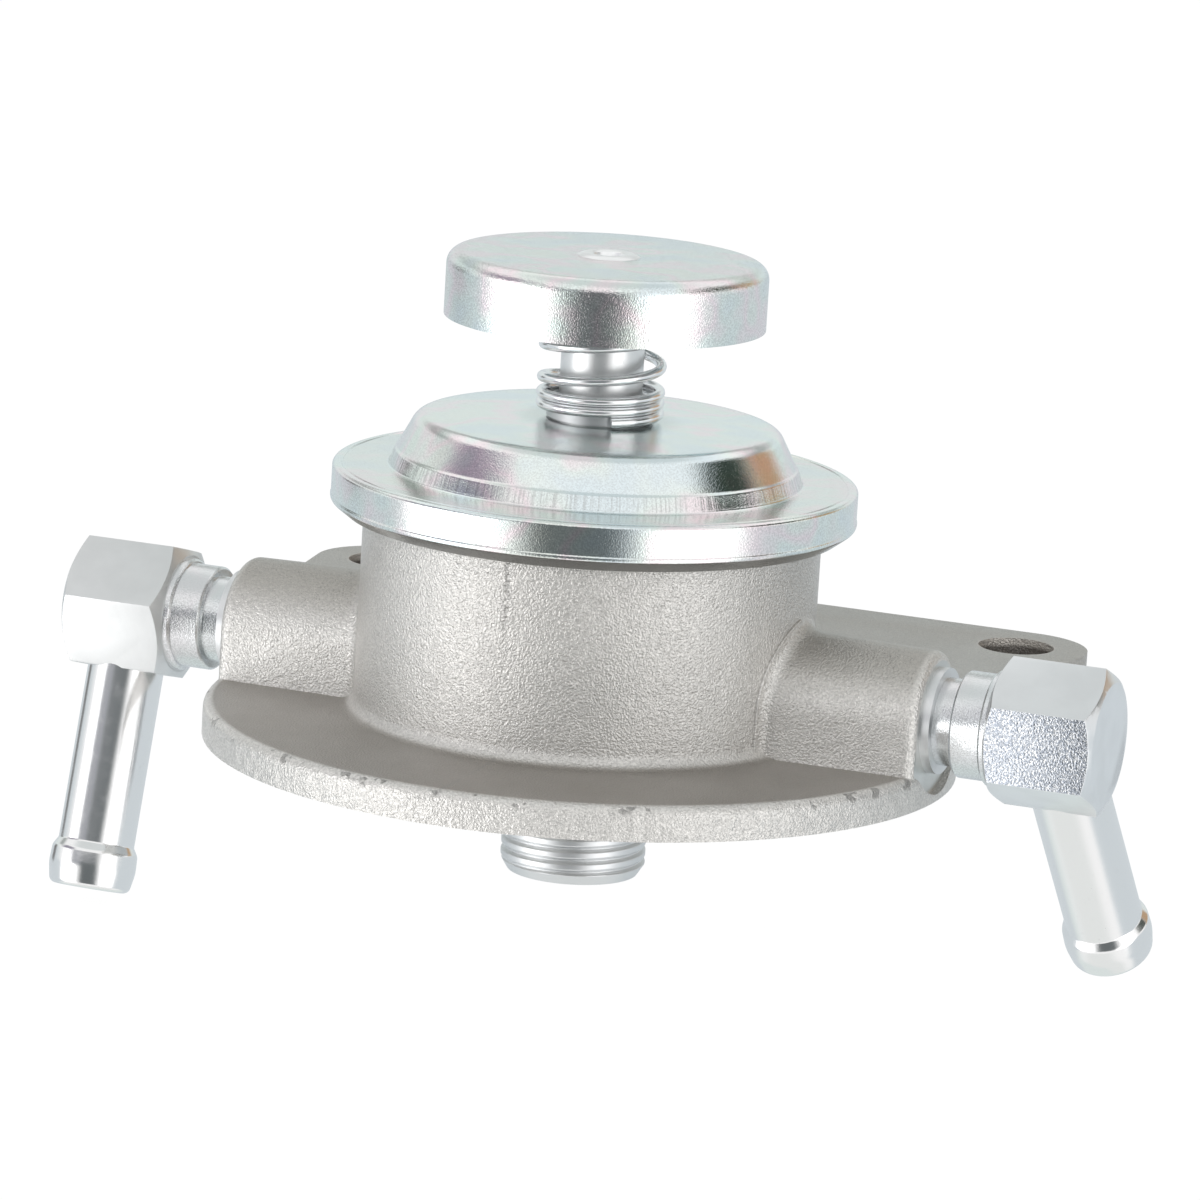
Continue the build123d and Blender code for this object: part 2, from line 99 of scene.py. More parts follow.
class Term:
    """One socket's value in a sum: operators on it add Math nodes to its tree."""

    def __init__(self, graph: "Graph", socket: Socket) -> None:
        """Wrap a socket.

        Args:
            graph: tree that the socket is in.
            socket: output socket that holds the value.
        """
        self.graph = graph
        self.socket = socket

    def maths(self, operation: str, *others: "Term | float", first: "Term | float | None" = None) -> "Term":
        """Add one Math node.

        Args:
            operation: the node's operation.
            others: further operands after this one.
            first: operand to put before this one, for reflected operators.

        Returns:
            The node's result.
        """
        operands = [self, *others] if first is None else [first, self]
        node = self.graph.add("ShaderNodeMath", {"operation": operation}, dict(enumerate(operands)))
        return Term(self.graph, node.outputs[0])

    def __add__(self, other: "Term | float") -> "Term":
        """Sum."""
        return self.maths("ADD", other)

    __radd__ = __add__

    def __mul__(self, other: "Term | float") -> "Term":
        """Product."""
        return self.maths("MULTIPLY", other)

    __rmul__ = __mul__

    def __sub__(self, other: "Term | float") -> "Term":
        """Difference."""
        return self.maths("SUBTRACT", other)

    def __rsub__(self, other: float) -> "Term":
        """Difference from a number."""
        return self.maths("SUBTRACT", first=other)

    def __truediv__(self, other: "Term | float") -> "Term":
        """Quotient."""
        return self.maths("DIVIDE", other)

    def __pow__(self, power: float) -> "Term":
        """Power."""
        return self.maths("POWER", power)

    def magnitude(self) -> "Term":
        """Absolute value."""
        return self.maths("ABSOLUTE")

    def ramp(self, low: float, high: float) -> "Term":
        """Smooth step.

        Args:
            low: value where the step starts, at 0.
            high: value where it has reached 1.

        Returns:
            The step's height, from 0 to 1.
        """
        node = self.graph.add(
            "ShaderNodeMapRange",
            {"interpolation_type": "SMOOTHSTEP"},
            {"Value": self, "From Min": low, "From Max": high, "To Min": 0.0, "To Max": 1.0},
        )
        return Term(self.graph, node.outputs["Result"])

    def band(self, low: float, high: float, soft: float) -> "Term":
        """Mask that is 1 between two values and fades out over soft on both sides."""
        return self.ramp(low - soft, low + soft) * self.fall(high - soft, high + soft)

    def fall(self, low: float, high: float) -> "Term":
        """Smooth step down, from 1 at low to 0 at high."""
        return 1.0 - self.ramp(low, high)


class Graph:
    """A node tree with one way to add any node."""

    def __init__(self, tree: bpy.types.NodeTree) -> None:
        """Start from an empty tree.

        Args:
            tree: the tree of a material, a world or a geometry group.
        """
        self.tree = tree
        tree.nodes.clear()

    def add(self, kind: str, settings: dict | None = None, sockets: dict | None = None) -> bpy.types.Node:
        """Add a node, its settings first and then its sockets.

        Args:
            kind: the node's type.
            settings: its properties, with a colour ramp's stops under "stops".
            sockets: values or links of its inputs, by name or place.

        Returns:
            The new node.
        """
        node = self.tree.nodes.new(kind)
        for name, value in (settings or {}).items():
            if name == "stops":
                for place, colour in value[2:]:
                    node.color_ramp.elements.new(place)
                for element, (place, colour) in zip(node.color_ramp.elements, sorted(value)):
                    element.position, element.color = place, (*colour, 1.0)
            else:
                setattr(node, name, value)
        for name, value in (sockets or {}).items():
            if isinstance(value, Term):
                value = value.socket
            if isinstance(value, Socket):
                self.tree.links.new(value, node.inputs[name])
            else:
                node.inputs[name].default_value = value
        return node

    def term(self, kind: str, output: str, settings: dict | None = None, sockets: dict | None = None) -> Term:
        """Add a node and wrap one of its outputs."""
        return Term(self, self.add(kind, settings, sockets).outputs[output])

    def mix(self, share: Term | float, first: Sequence[float] | Term, second: Sequence[float] | Term) -> Term:
        """Mix two colours.

        Args:
            share: how much of the second colour shows.
            first: colour where the share is 0.
            second: colour where the share is 1.

        Returns:
            The mixed colour.
        """
        sides = [side if isinstance(side, Term) else (*side, 1.0) for side in (first, second)]
        node = self.add("ShaderNodeMix", {"data_type": "RGBA"}, {0: share, 6: sides[0], 7: sides[1]})
        return Term(self, node.outputs[2])

    def place(self) -> Term:
        """Object coordinates, in metres."""
        return self.term("ShaderNodeTexCoord", "Object")

    def parts(self, vector: Term) -> tuple[Term, Term, Term]:
        """X, Y and Z of a vector."""
        node = self.add("ShaderNodeSeparateXYZ", None, {0: vector})
        return tuple(Term(self, node.outputs[name]) for name in "XYZ")

    def joined(self, x: Term | float, y: Term | float, z: Term | float) -> Term:
        """A vector from its three parts."""
        return self.term("ShaderNodeCombineXYZ", "Vector", None, {"X": x, "Y": y, "Z": z})

    def grain(
        self, size_mm: float, detail: float = 2.0, rough: float = 0.5, vector: Term | None = None
    ) -> Term:
        """Noise.

        Args:
            size_mm: size of its largest grains.
            detail: octaves.
            rough: how strong the finer octaves are.
            vector: coordinates, or None for the object's.

        Returns:
            Noise from 0 to 1, about 0.5 in the mean.
        """
        sockets = {
            "Vector": vector or self.place(),
            "Scale": 1.0 / (size_mm * MM),
            "Detail": detail,
            "Roughness": rough,
        }
        return self.term("ShaderNodeTexNoise", "Fac", None, sockets)

    def upward(self, low: float, high: float) -> Term:
        """Mask of the faces that look up, by the height of their normal."""
        _, _, rise = self.parts(self.term("ShaderNodeNewGeometry", "Normal"))
        return rise.ramp(low, high)

    def bump(self, height: Term, depth_mm: float, strength: float = 1.0) -> Term:
        """Surface normal of a height from 0 to 1 that stands for depth_mm."""
        sockets = {"Height": height, "Distance": depth_mm * MM, "Strength": strength}
        return self.term("ShaderNodeBump", "Normal", None, sockets)


# Finishes


@dataclass(frozen=True)
class Finish:
    """A surface finish: its name, its colour and how sharp its gloss is."""

    name: str
    colour: Colour = (0.8, 0.8, 0.8)
    roughness: float = 0.4
    metallic: float = 1.0

    def surface(self, graph: Graph) -> dict:
        """Sockets of the shader that vary; the plain finish varies a little with grain.

        Args:
            graph: the material's tree.

        Returns:
            Values of the shader's sockets.
        """
        cloud = graph.grain(9.0, 3.0)
        fine = graph.grain(0.6, 2.0)
        return {
            "Base Color": graph.mix(cloud.ramp(0.3, 0.7), self.shaded(0.93), self.colour),
            "Roughness": self.roughness + (fine - 0.5) * 0.12,
            "Normal": graph.bump(fine, 0.01),
        }

    def shaded(self, share: float) -> list[float]:
        """The finish's colour made darker or lighter, 1 at most."""
        return [min(1.0, share * part) for part in self.colour]

    def material(self) -> bpy.types.Material:
        """Build the material once and give it back.

        Returns:
            The material, taken from the file if it was built before.
        """
        known = bpy.data.materials.get(self.name)
        if known:
            return known
        made = bpy.data.materials.new(self.name)
        made.use_nodes = True
        graph = Graph(made.node_tree)
        sockets = {"Metallic": self.metallic, **self.surface(graph)}
        shader = graph.add("ShaderNodeBsdfPrincipled", None, sockets)
        graph.add("ShaderNodeOutputMaterial", None, {"Surface": shader.outputs[0]})
        return made


class Spot:
    """Where a point of the surface is, in millimetres, with its distance from the Z axis."""

    def __init__(self, graph: Graph) -> None:
        """Read the object coordinates."""
        self.x, self.y, self.z = (part * (1.0 / MM) for part in graph.parts(graph.place()))
        self.radius = (self.x * self.x + self.y * self.y) ** 0.5


@dataclass(frozen=True)
class CastAlloy(Finish):
    """Sand-cast light alloy: grain, a pitted parting line down the front, a nicked flange edge, and painted
    shade on its upper faces, its ears, its ledge, under the cover's lip and deep in its ear holes.
    """

    flange_radius: float = 49.5
    flange_top: float = 4.5
    barrel: float = BARREL_RADIUS
    boss_end: float = BOSS_END
    ear_place: Point = (46.0, 42.5)
    ear_hole: float = 5.1
    hole_lit: float = 11.0
    lip_bottom: float = LIP_BOTTOM
    # Painted tones: shade on upward faces and the ears, shade on the ledge, light on the ear holes' walls,
    # shadow deep in the holes
    shade_tone: Colour = (0.47, 0.45, 0.415)
    ledge_shade_tone: Colour = (0.35, 0.325, 0.295)
    hole_lit_tone: Colour = (0.60, 0.565, 0.52)
    hole_shadow_tone: Colour = (0.16, 0.145, 0.13)

    def parting_line(self, graph: Graph, at: Spot) -> tuple[Term, Term]:
        """The line where the mould's halves met, down the front of the barrel.

        Args:
            graph: the material's tree.
            at: the point of the surface.

        Returns:
            Masks of the line and of the pits on its upper half.
        """
        front = at.y.fall(0.9 - self.barrel, 1.9 - self.barrel)
        wander = at.x.magnitude() + (graph.grain(1.3, 2.0) - 0.5) * 1.6
        line = wander.fall(0.05, 0.5) * front * at.z.ramp(self.flange_top - 0.8, self.flange_top)
        upper = at.z.ramp(17.0, 25.0) * at.radius.fall(self.barrel + 0.5, self.barrel + 1.0)
        pitted = wander.fall(0.1, 0.6) * front * upper * graph.grain(0.7, 2.0).ramp(0.42, 0.56)
        return line, pitted

    def flange_edge(self, graph: Graph, at: Spot) -> tuple[Term, Term]:
        """The flange's worn edge.

        Args:
            graph: the material's tree.
            at: the point of the surface.

        Returns:
            Masks of its nicks and of its rough band.
        """
        rim, top = self.flange_radius, self.flange_top
        across = at.radius.ramp(rim - 1.2, rim - 0.7) * at.radius.fall(rim + 0.2, rim + 0.5)
        edge = across * at.z.ramp(top - 1.6, top - 0.5) * at.z.fall(top + 0.2, top + 0.5)
        nicks = edge * graph.grain(3.4, 2.5, 0.65).ramp(0.57, 0.62)
        return nicks, at.radius.ramp(rim - 1.5, rim - 0.9) * at.z.fall(top + 0.3, top + 0.8)

    def tone(self, graph: Graph, at: Spot, rough_edge: Term) -> Term:
        """Colour of the bare alloy: stained, with painted shade where it looks up, on its ears and on its
        ledge, and painted light and shadow in its ear holes.

        Args:
            graph: the material's tree.
            at: the point of the surface.
            rough_edge: mask of the flange's rough band.

        Returns:
            The colour.
        """
        rim, top, across = self.flange_radius, self.flange_top, at.x.magnitude()
        stain = graph.grain(15.0, 3.0)
        # Painted shade on the flat top of the flange round the barrel's foot
        ledge_shade = graph.upward(0.45, 1.0) * at.z.band(3.4, top + 0.4, 0.3)
        ledge_shade = ledge_shade * at.radius.fall(rim - 1.5, rim - 0.9)
        # Painted shade on the ear plate, on its top and its side walls, and on every upward face above the
        # flange
        ears = at.radius.ramp(33.0, 35.0) * at.y.ramp(14.0, 16.0)
        shade = graph.upward(0.25, 0.90).maths("MAXIMUM", ears * 0.8) * at.z.ramp(top + 1.5, top + 3.0)
        hole_x, hole_y = across - self.ear_place[0], at.y - self.ear_place[1]
        hole = ((hole_x * hole_x + hole_y * hole_y) ** 0.5).fall(self.ear_hole, self.ear_hole + 0.3)
        worn = across.ramp(self.boss_end - 1.6, self.boss_end - 0.6) * at.radius.fall(49.6, 50.2)
        worn = worn * at.z.ramp(top, top + 1.0)
        tone = graph.mix(stain.ramp(0.3, 0.75), self.colour, self.shaded(0.92))
        tone = graph.mix(shade * (0.7 + stain * 0.5), tone, self.shade_tone)
        tone = graph.mix(ledge_shade * (0.62 + stain * 0.5), tone, self.ledge_shade_tone)
        tone = graph.mix(rough_edge * 0.3 + worn * 0.5, tone, self.shaded(1.15))
        # Painted light on the ear holes' walls, and painted shadow below hole_lit deep in them
        tone = graph.mix(hole, tone, self.hole_lit_tone)
        return graph.mix(hole * at.z.fall(self.hole_lit - 0.3, self.hole_lit + 0.3), tone, self.hole_shadow_tone)

    def surface(self, graph: Graph) -> dict:
        """Sockets that vary: grain, pits, stains, the parting line, the nicked edge and a painted shadow
        under the cover's lip.

        Args:
            graph: the material's tree.

        Returns:
            Values of the shader's sockets.
        """
        at = Spot(graph)
        grain = graph.grain(0.28, 1.5, 0.6)
        coarse = graph.grain(1.7, 2.0)
        sand = graph.grain(0.34, 1.0).ramp(0.40, 0.60)
        pits = graph.grain(1.1, 1.0).ramp(0.70, 0.78) * graph.grain(6.0, 2.0).ramp(0.5, 0.62)
        line, pitted = self.parting_line(graph, at)
        nicks, rough_edge = self.flange_edge(graph, at)
        # Painted shadow on the barrel in a thin band just under the cover's lip
        lip_shadow = at.z.ramp(self.lip_bottom - 0.9, self.lip_bottom - 0.75)
        lip_shadow = lip_shadow * at.radius.fall(self.barrel + 0.6, self.barrel + 1.1)
        low_line = line * (0.06 + 0.3 * at.z.fall(self.flange_top, self.flange_top + 1.0))
        dark = sand * 0.27 + pits * 0.12 + pitted * 0.4 + nicks * 0.7 + low_line + lip_shadow * 0.15
        height = grain * 1.1 + coarse * 0.30 + rough_edge * coarse * 1.3
        height = height - pits * 0.3 - pitted * 0.7 - nicks * 0.9
        tone = self.tone(graph, at, rough_edge)
        return {
            "Base Color": graph.mix(dark.maths("MINIMUM", 1.0), tone, self.shaded(0.42)),
            "Roughness": self.roughness + grain * 0.14,
            "Normal": graph.bump(height, 0.17),
        }


@dataclass(frozen=True)
class TurnedFace(Finish):
    """A face cut on a lathe, with rings round one axis."""

    axis: str = "Z"
    centre: tuple[float, float] = (0.0, 0.0)
    ring_mm: float = 0.35

    def surface(self, graph: Graph) -> dict:
        """Sockets that vary: rings in the roughness and the normal.

        Args:
            graph: the material's tree.

        Returns:
            Values of the shader's sockets.
        """
        x, y, z = graph.parts(graph.place())
        first, second = {"Z": (x, y), "X": (y, z)}[self.axis]
        first, second = first - self.centre[0] * MM, second - self.centre[1] * MM
        radius = (first * first + second * second) ** 0.5
        rings = graph.grain(self.ring_mm, 2.0, 0.6, graph.joined(radius, 0.0, 0.0))
        cloud = graph.grain(5.0, 3.0)
        return {
            "Base Color": graph.mix(cloud.ramp(0.3, 0.7), self.shaded(0.86), self.colour),
            "Roughness": self.roughness + (rings - 0.5) * 0.14,
            "Normal": graph.bump(rings, 0.02, 0.7),
        }


@dataclass(frozen=True)
class ZincPlate(Finish):
    """Bright zinc plate whose passivation shows pale blue, pink and green."""

    tint: float = 1.0
    grain_depth: float = 0.03

    def pressed(self, graph: Graph, height: Term, tone: Term) -> tuple[Term, Term]:
        """Height and colour with the marks that pressing left, none on a plain piece."""
        return height, tone

    def surface(self, graph: Graph) -> dict:
        """Sockets that vary: tints, speckles and the marks of pressing.

        Args:
            graph: the material's tree.

        Returns:
            Values of the shader's sockets.
        """
        fine = graph.grain(0.18, 1.5, 0.6)
        specks = graph.grain(0.5, 1.0).ramp(0.74, 0.82)
        salt = graph.grain(0.24, 1.0).ramp(0.38, 0.62) * (1.0 - graph.upward(0.3, 0.8))
        stops = [
            (0.0, (0.74, 0.86, 0.92)),
            (1.0, (0.94, 0.91, 0.80)),
            (0.40, (0.80, 0.88, 0.90)),
            (0.48, (0.84, 0.91, 0.88)),
            (0.56, (0.95, 0.85, 0.88)),
            (0.63, (0.86, 0.91, 0.87)),
        ]
        drift = {"Fac": graph.grain(11.0, 2.0, 0.5)}
        rainbow = graph.term("ShaderNodeValToRGB", "Color", {"stops": stops}, drift)
        height, tone = self.pressed(graph, fine, graph.mix(self.tint, self.colour, rainbow))
        tone = graph.mix(fine.ramp(0.50, 0.75) * 0.08 + salt * 0.25, tone, self.shaded(0.4))
        return {
            "Base Color": graph.mix(specks * 0.3, tone, self.shaded(0.5)),
            "Roughness": self.roughness + (fine - 0.5) * 0.16,
            "Normal": graph.bump(height, self.grain_depth),
        }


@dataclass(frozen=True)
class PressedCoverPlate(ZincPlate):
    """Zinc plate on the drawn cover: draw marks round its skirt, rings on its level part, painted shade round
    the spring's foot and on the faces that look down.
    """

    skirt: tuple[float, float, float] = (37.1, 38.9, 0.2)
    skirt_radius: float = 26.0
    level_height: float = 36.2
    ring_tone: Colour = (0.76, 0.75, 0.71)
    # Painted shade tones: round the spring's foot, and on the faces that look down
    spring_shade_tone: Colour = (0.50, 0.55, 0.53)
    downward_shade_tone: Colour = (0.38, 0.385, 0.38)

    def pressed(self, graph: Graph, height: Term, tone: Term) -> tuple[Term, Term]:
        """Add the marks that pressing left, and the painted shade round the spring's foot and on the faces
        that look down.

        Args:
            graph: the material's tree.
            height: height of the surface before.
            tone: its colour before.

        Returns:
            Height and colour with the marks.
        """
        at = Spot(graph)
        turn = at.y.maths("ARCTAN2", at.x) * (self.skirt_radius * MM)
        marks = graph.grain(0.55, 2.0, 0.6, graph.joined(turn, at.z * (0.03 * MM), 0.0))
        skirt = at.z.band(*self.skirt)
        rings = graph.grain(0.9, 2.0, 0.6, graph.joined(at.radius * MM, 0.0, 0.0))
        level = at.radius.ramp(27.0, 27.4) * at.radius.fall(32.5, 33.2)
        level = level * at.z.ramp(self.level_height, self.level_height + 0.3)
        # Painted shade in a ring round the spring's foot on the dome
        spring_shade = at.radius.fall(7.5, 12.0)
        tone = graph.mix(skirt * marks.ramp(0.46, 0.62) * 0.45, tone, self.shaded(0.5))
        tone = graph.mix(level * (0.05 + rings * 0.4), tone, self.ring_tone)
        tone = graph.mix(spring_shade * (0.3 + marks * 0.4), tone, self.spring_shade_tone)
        # Painted shade on every face of the cover that looks down, the rolled lip's underside among them
        tone = graph.mix(1.0 - graph.upward(-0.75, -0.25), tone, self.downward_shade_tone)
        return height + marks * skirt * 1.8 + rings * level * 0.7, tone


@dataclass(frozen=True)
class BrightPlate(Finish):
    """Mirror-like plate with a few handling marks."""

    speckle: float = 0.3

    def surface(self, graph: Graph) -> dict:
        """Sockets that vary: soft clouds, faint scratches and waves.

        Args:
            graph: the material's tree.

        Returns:
            Values of the shader's sockets.
        """
        wave = graph.grain(4.0, 1.0)
        haze = graph.grain(2.0, 3.0)
        specks = graph.grain(0.4, 1.0).ramp(0.70, 0.78)
        return {
            "Base Color": graph.mix(specks * 0.25, self.colour, self.shaded(0.5)),
            "Roughness": self.roughness + haze.ramp(0.5, 0.8) * 0.06 + specks * 0.1,
            "Normal": graph.bump(wave + graph.grain(0.35, 1.5) * self.speckle, 0.05, 0.3),
        }


@dataclass(frozen=True)
class GroundFlat(Finish):
    """Plated flats, satin, but the one that faces the front has a ground bump, less roughness and painted
    dark reflection flecks in its colour.
    """

    sparkle: float = 1.0

    def surface(self, graph: Graph) -> dict:
        """Sockets that vary: clouds all over, and on the flat that faces the front a ground bump, less
        roughness and painted dark reflection flecks.

        Args:
            graph: the material's tree.

        Returns:
            Values of the shader's sockets.
        """
        _, ahead, _ = graph.parts(graph.term("ShaderNodeNewGeometry", "Normal"))
        # The front flat gets a ground bump and less roughness, and painted dark reflection flecks in its
        # colour
        front_flat = (1.0 - ahead.ramp(-0.99, -0.93)) * self.sparkle
        sparkle = graph.grain(0.28, 2.0, 0.7)
        fine = graph.grain(0.5, 2.0)
        cloud = graph.grain(6.0, 3.0)
        tone = graph.mix(cloud.ramp(0.35, 0.7), self.colour, self.shaded(0.94))
        # Painted dark reflection flecks go into the front flat's colour
        return {
            "Base Color": graph.mix(front_flat * sparkle.ramp(0.31, 0.60) * 0.8, tone, (0.27, 0.31, 0.38)),
            "Roughness": self.roughness + (cloud - 0.5) * 0.08 - front_flat * 0.16,
            "Normal": graph.bump(fine * 0.1 + front_flat * sparkle, 0.10, 1.0),
        }


@dataclass(frozen=True)
class Moulded(Finish):
    """Rubber or plastic with a matt moulded skin."""

    metallic: float = 0.0

    def surface(self, graph: Graph) -> dict:
        """Sockets that vary: skin grain and dust.

        Args:
            graph: the material's tree.

        Returns:
            Values of the shader's sockets.
        """
        skin = graph.grain(0.4, 2.0)
        dust = graph.grain(6.0, 3.0)
        dusty = [part * 1.5 + 0.01 for part in self.colour]
        return {
            "Base Color": graph.mix(dust.ramp(0.5, 0.8), self.colour, dusty),
            "Roughness": self.roughness + (skin - 0.5) * 0.15,
            "Normal": graph.bump(skin, 0.02),
        }


CAST = CastAlloy("cast_alloy", (0.755, 0.738, 0.71), 0.27, 0.75)
SPOT_FACE = TurnedFace("spot_face", (0.70, 0.71, 0.69), 0.3, axis="X", centre=(0.0, PORT_HEIGHT))
GASKET_FACE = TurnedFace("gasket_face", (0.72, 0.72, 0.71), 0.26, ring_mm=0.5)
COVER_ZINC = PressedCoverPlate("cover_zinc", (0.88, 0.90, 0.89), 0.10, grain_depth=0.022)
KNOB_ZINC = ZincPlate("knob_zinc", (0.88, 0.90, 0.89), 0.10, grain_depth=0.044)
SPRING_PLATE = BrightPlate("spring_plate", (0.92, 0.93, 0.94), 0.15, 0.9)
ROD_PLATE = BrightPlate("rod_plate", (0.95, 0.96, 0.96), 0.32, 0.7)
PIPE_PLATE = BrightPlate("pipe_plate", (0.89, 0.89, 0.89), 0.16)
COLLAR_ZINC = ZincPlate("collar_zinc", (0.78, 0.79, 0.80), 0.20, tint=0.15)
SMOOTH_HEX = GroundFlat("smooth_hex", (0.79, 0.80, 0.80), 0.42, sparkle=0.0)
SPARKLE_HEX = GroundFlat("sparkle_hex", (0.88, 0.89, 0.90), 0.30)
STUD_STEEL = BrightPlate("stud_steel", (0.88, 0.89, 0.89), 0.10)
WASHER_ALLOY = TurnedFace("washer_alloy", (0.44, 0.46, 0.44), 0.34, axis="X", centre=(0.0, PORT_HEIGHT))
BUSH_STEEL = BrightPlate("bush_steel", (0.88, 0.86, 0.92), 0.30, 0.8)
PLATE_STEEL = Finish("plate_steel", (0.66, 0.67, 0.68), 0.35)
RUBBER = Moulded("black_rubber", (0.03, 0.03, 0.03), 0.7)
VALVE_PLASTIC = Moulded("valve_plastic", (0.11, 0.11, 0.12), 0.45)


# Mesh building

# The share of a side that a rounding may take, the radius that counts as none, and angles in degrees
MOST_OF_HALF = 0.499
ON_AXIS = 1e-6
EDGE_ANGLE = 30.0
FLAT_ANGLE = 0.4


def rounded(path: Sequence[Point], bends: Sequence[float], steps: int = 6) -> list[Point]:
    """Round the corners of a path.

    Args:
        path: corner points in millimetres.
        bends: radius at each corner between the ends, 0 for a sharp one.
        steps: straight pieces in each arc.

    Returns:
        The path with arcs in place of its corners.
    """
    points = [path[0]]
    for before, corner, after, bend in zip(path, path[1:], path[2:], bends):
        here = Vector(corner)
        back = Vector(before) - here
        ahead = Vector(after) - here
        if bend <= 0.0:
            points.append(corner)
            continue
        half = back.angle(ahead) / 2
        reach = min(bend / math.tan(half), back.length * MOST_OF_HALF, ahead.length * MOST_OF_HALF)
        start = here + back.normalized() * reach
        end = here + ahead.normalized() * reach
        centre = here + (back.normalized() + ahead.normalized()).normalized() * (reach / math.cos(half))
        first, last = start - centre, end - centre
        turn = first.angle_signed(last)
        for step in range(steps + 1):
            angle = -turn * step / steps
            cosine, sine = math.cos(angle), math.sin(angle)
            spun = Vector((first.x * cosine - first.y * sine, first.x * sine + first.y * cosine))
            points.append(tuple(centre + spun))
    points.append(path[-1])
    return points


def turned(name: str, outline: Sequence[Point], segments: int, place: Matrix | None = None) -> Piece:
    """Turn a closed outline round the Z axis into a mesh.

    Args:
        name: the object's name.
        outline: closed ring of (radius, height) points in millimetres.
        segments: faces round the axis.
        place: where the turned shape goes, in metres.

    Returns:
        The new object, at the origin, with its place in its mesh.
    """
    mesh = bpy.data.meshes.new(name)
    shape = bmesh.new()
    turns = [FULL_TURN * step / segments for step in range(segments)]
    rings = []
    for radius, height in outline:
        wide, high = radius * MM, height * MM
        if radius < ON_AXIS:
            rings.append([shape.verts.new((0.0, 0.0, high))] * segments)
        else:
            corners = [(wide * math.cos(turn), wide * math.sin(turn), high) for turn in turns]
            rings.append([shape.verts.new(corner) for corner in corners])
    for lower, upper in zip(rings, rings[1:] + rings[:1]):
        for step in range(segments):
            following = (step + 1) % segments
            sides = list(dict.fromkeys((lower[step], lower[following], upper[following], upper[step])))
            if len(sides) > 2:
                shape.faces.new(sides)
    bmesh.ops.remove_doubles(shape, verts=shape.verts, dist=1e-8)
    bmesh.ops.recalc_face_normals(shape, faces=shape.faces)
    if place:
        bmesh.ops.transform(shape, matrix=place, verts=shape.verts)
    shape.to_mesh(mesh)
    shape.free()
    return smooth(bpy.data.objects.new(name, mesh))


def smooth(piece: Piece, angle: float = 32.0) -> Piece:
    """Shade a piece smooth and put it in the scene.

    Args:
        piece: the mesh object.
        angle: edges sharper than this, in degrees, stay sharp.

    Returns:
        The same piece.
    """
    if piece.name not in bpy.context.scene.collection.objects:
        bpy.context.scene.collection.objects.link(piece)
    piece.data.shade_smooth()
    piece.data.set_sharp_from_angle(angle=math.radians(angle))
    return piece


def copied(node: str, name: str, bevel_mm: float) -> Piece:
    """Copy a node's mesh, merge it and soften its edges.

    Args:
        node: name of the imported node.
        name: name of the new object.
        bevel_mm: width of the rounding on its edges.

    Returns:
        The new object, with the rounding applied.
    """
    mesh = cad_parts[node].data.copy()
    mesh.name = name
    mesh.materials.clear()
    shape = bmesh.new()
    shape.from_mesh(mesh)
    bmesh.ops.remove_doubles(shape, verts=shape.verts, dist=1e-6)
    flat = math.radians(FLAT_ANGLE)
    bmesh.ops.dissolve_limit(shape, angle_limit=flat, verts=shape.verts, edges=shape.edges)
    shape.to_mesh(mesh)
    shape.free()
    if "custom_normal" in mesh.attributes:
        mesh.attributes.remove(mesh.attributes["custom_normal"])
    piece = bpy.data.objects.new(name, mesh)
    bpy.context.scene.collection.objects.link(piece)
    softening = piece.modifiers.new("edges", "BEVEL")
    softening.width = bevel_mm * MM
    softening.segments = 3
    softening.limit_method = "ANGLE"
    softening.angle_limit = math.radians(EDGE_ANGLE)
    softening.use_clamp_overlap = True
    return smooth(settled(piece), 24.0)


def settled(piece: Piece) -> Piece:
    """Turn a piece's modifiers into its plain mesh.

    Args:
        piece: the object with its modifiers.

    Returns:
        The same object, with none.
    """
    bpy.context.view_layer.update()
    seen = piece.evaluated_get(bpy.context.evaluated_depsgraph_get())
    mesh = bpy.data.meshes.new_from_object(seen)
    piece.modifiers.clear()
    piece.data = mesh
    return piece


def dress(piece: Piece, finish: Finish, body: Body, slot: str, *nodes: str) -> Piece:
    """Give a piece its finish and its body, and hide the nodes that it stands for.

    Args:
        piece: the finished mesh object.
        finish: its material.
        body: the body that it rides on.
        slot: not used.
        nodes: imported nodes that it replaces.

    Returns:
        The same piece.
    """
    if not piece.data.materials:
        piece.data.materials.append(finish.material())
    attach(piece, body.value)
    if nodes:
        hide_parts(*nodes)
    LOG.info("%s rides on %s", piece.name, body.value)
    return piece


def keep_node(node: str, finish: Finish) -> None:
    """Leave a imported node's shape as it is and give it a better finish.

    Args:
        node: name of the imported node.
        finish: its finish.
    """
    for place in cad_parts[node].material_slots:
        place.link = "OBJECT"
        place.material = finish.material()
    LOG.info("%s keeps its shape", node)


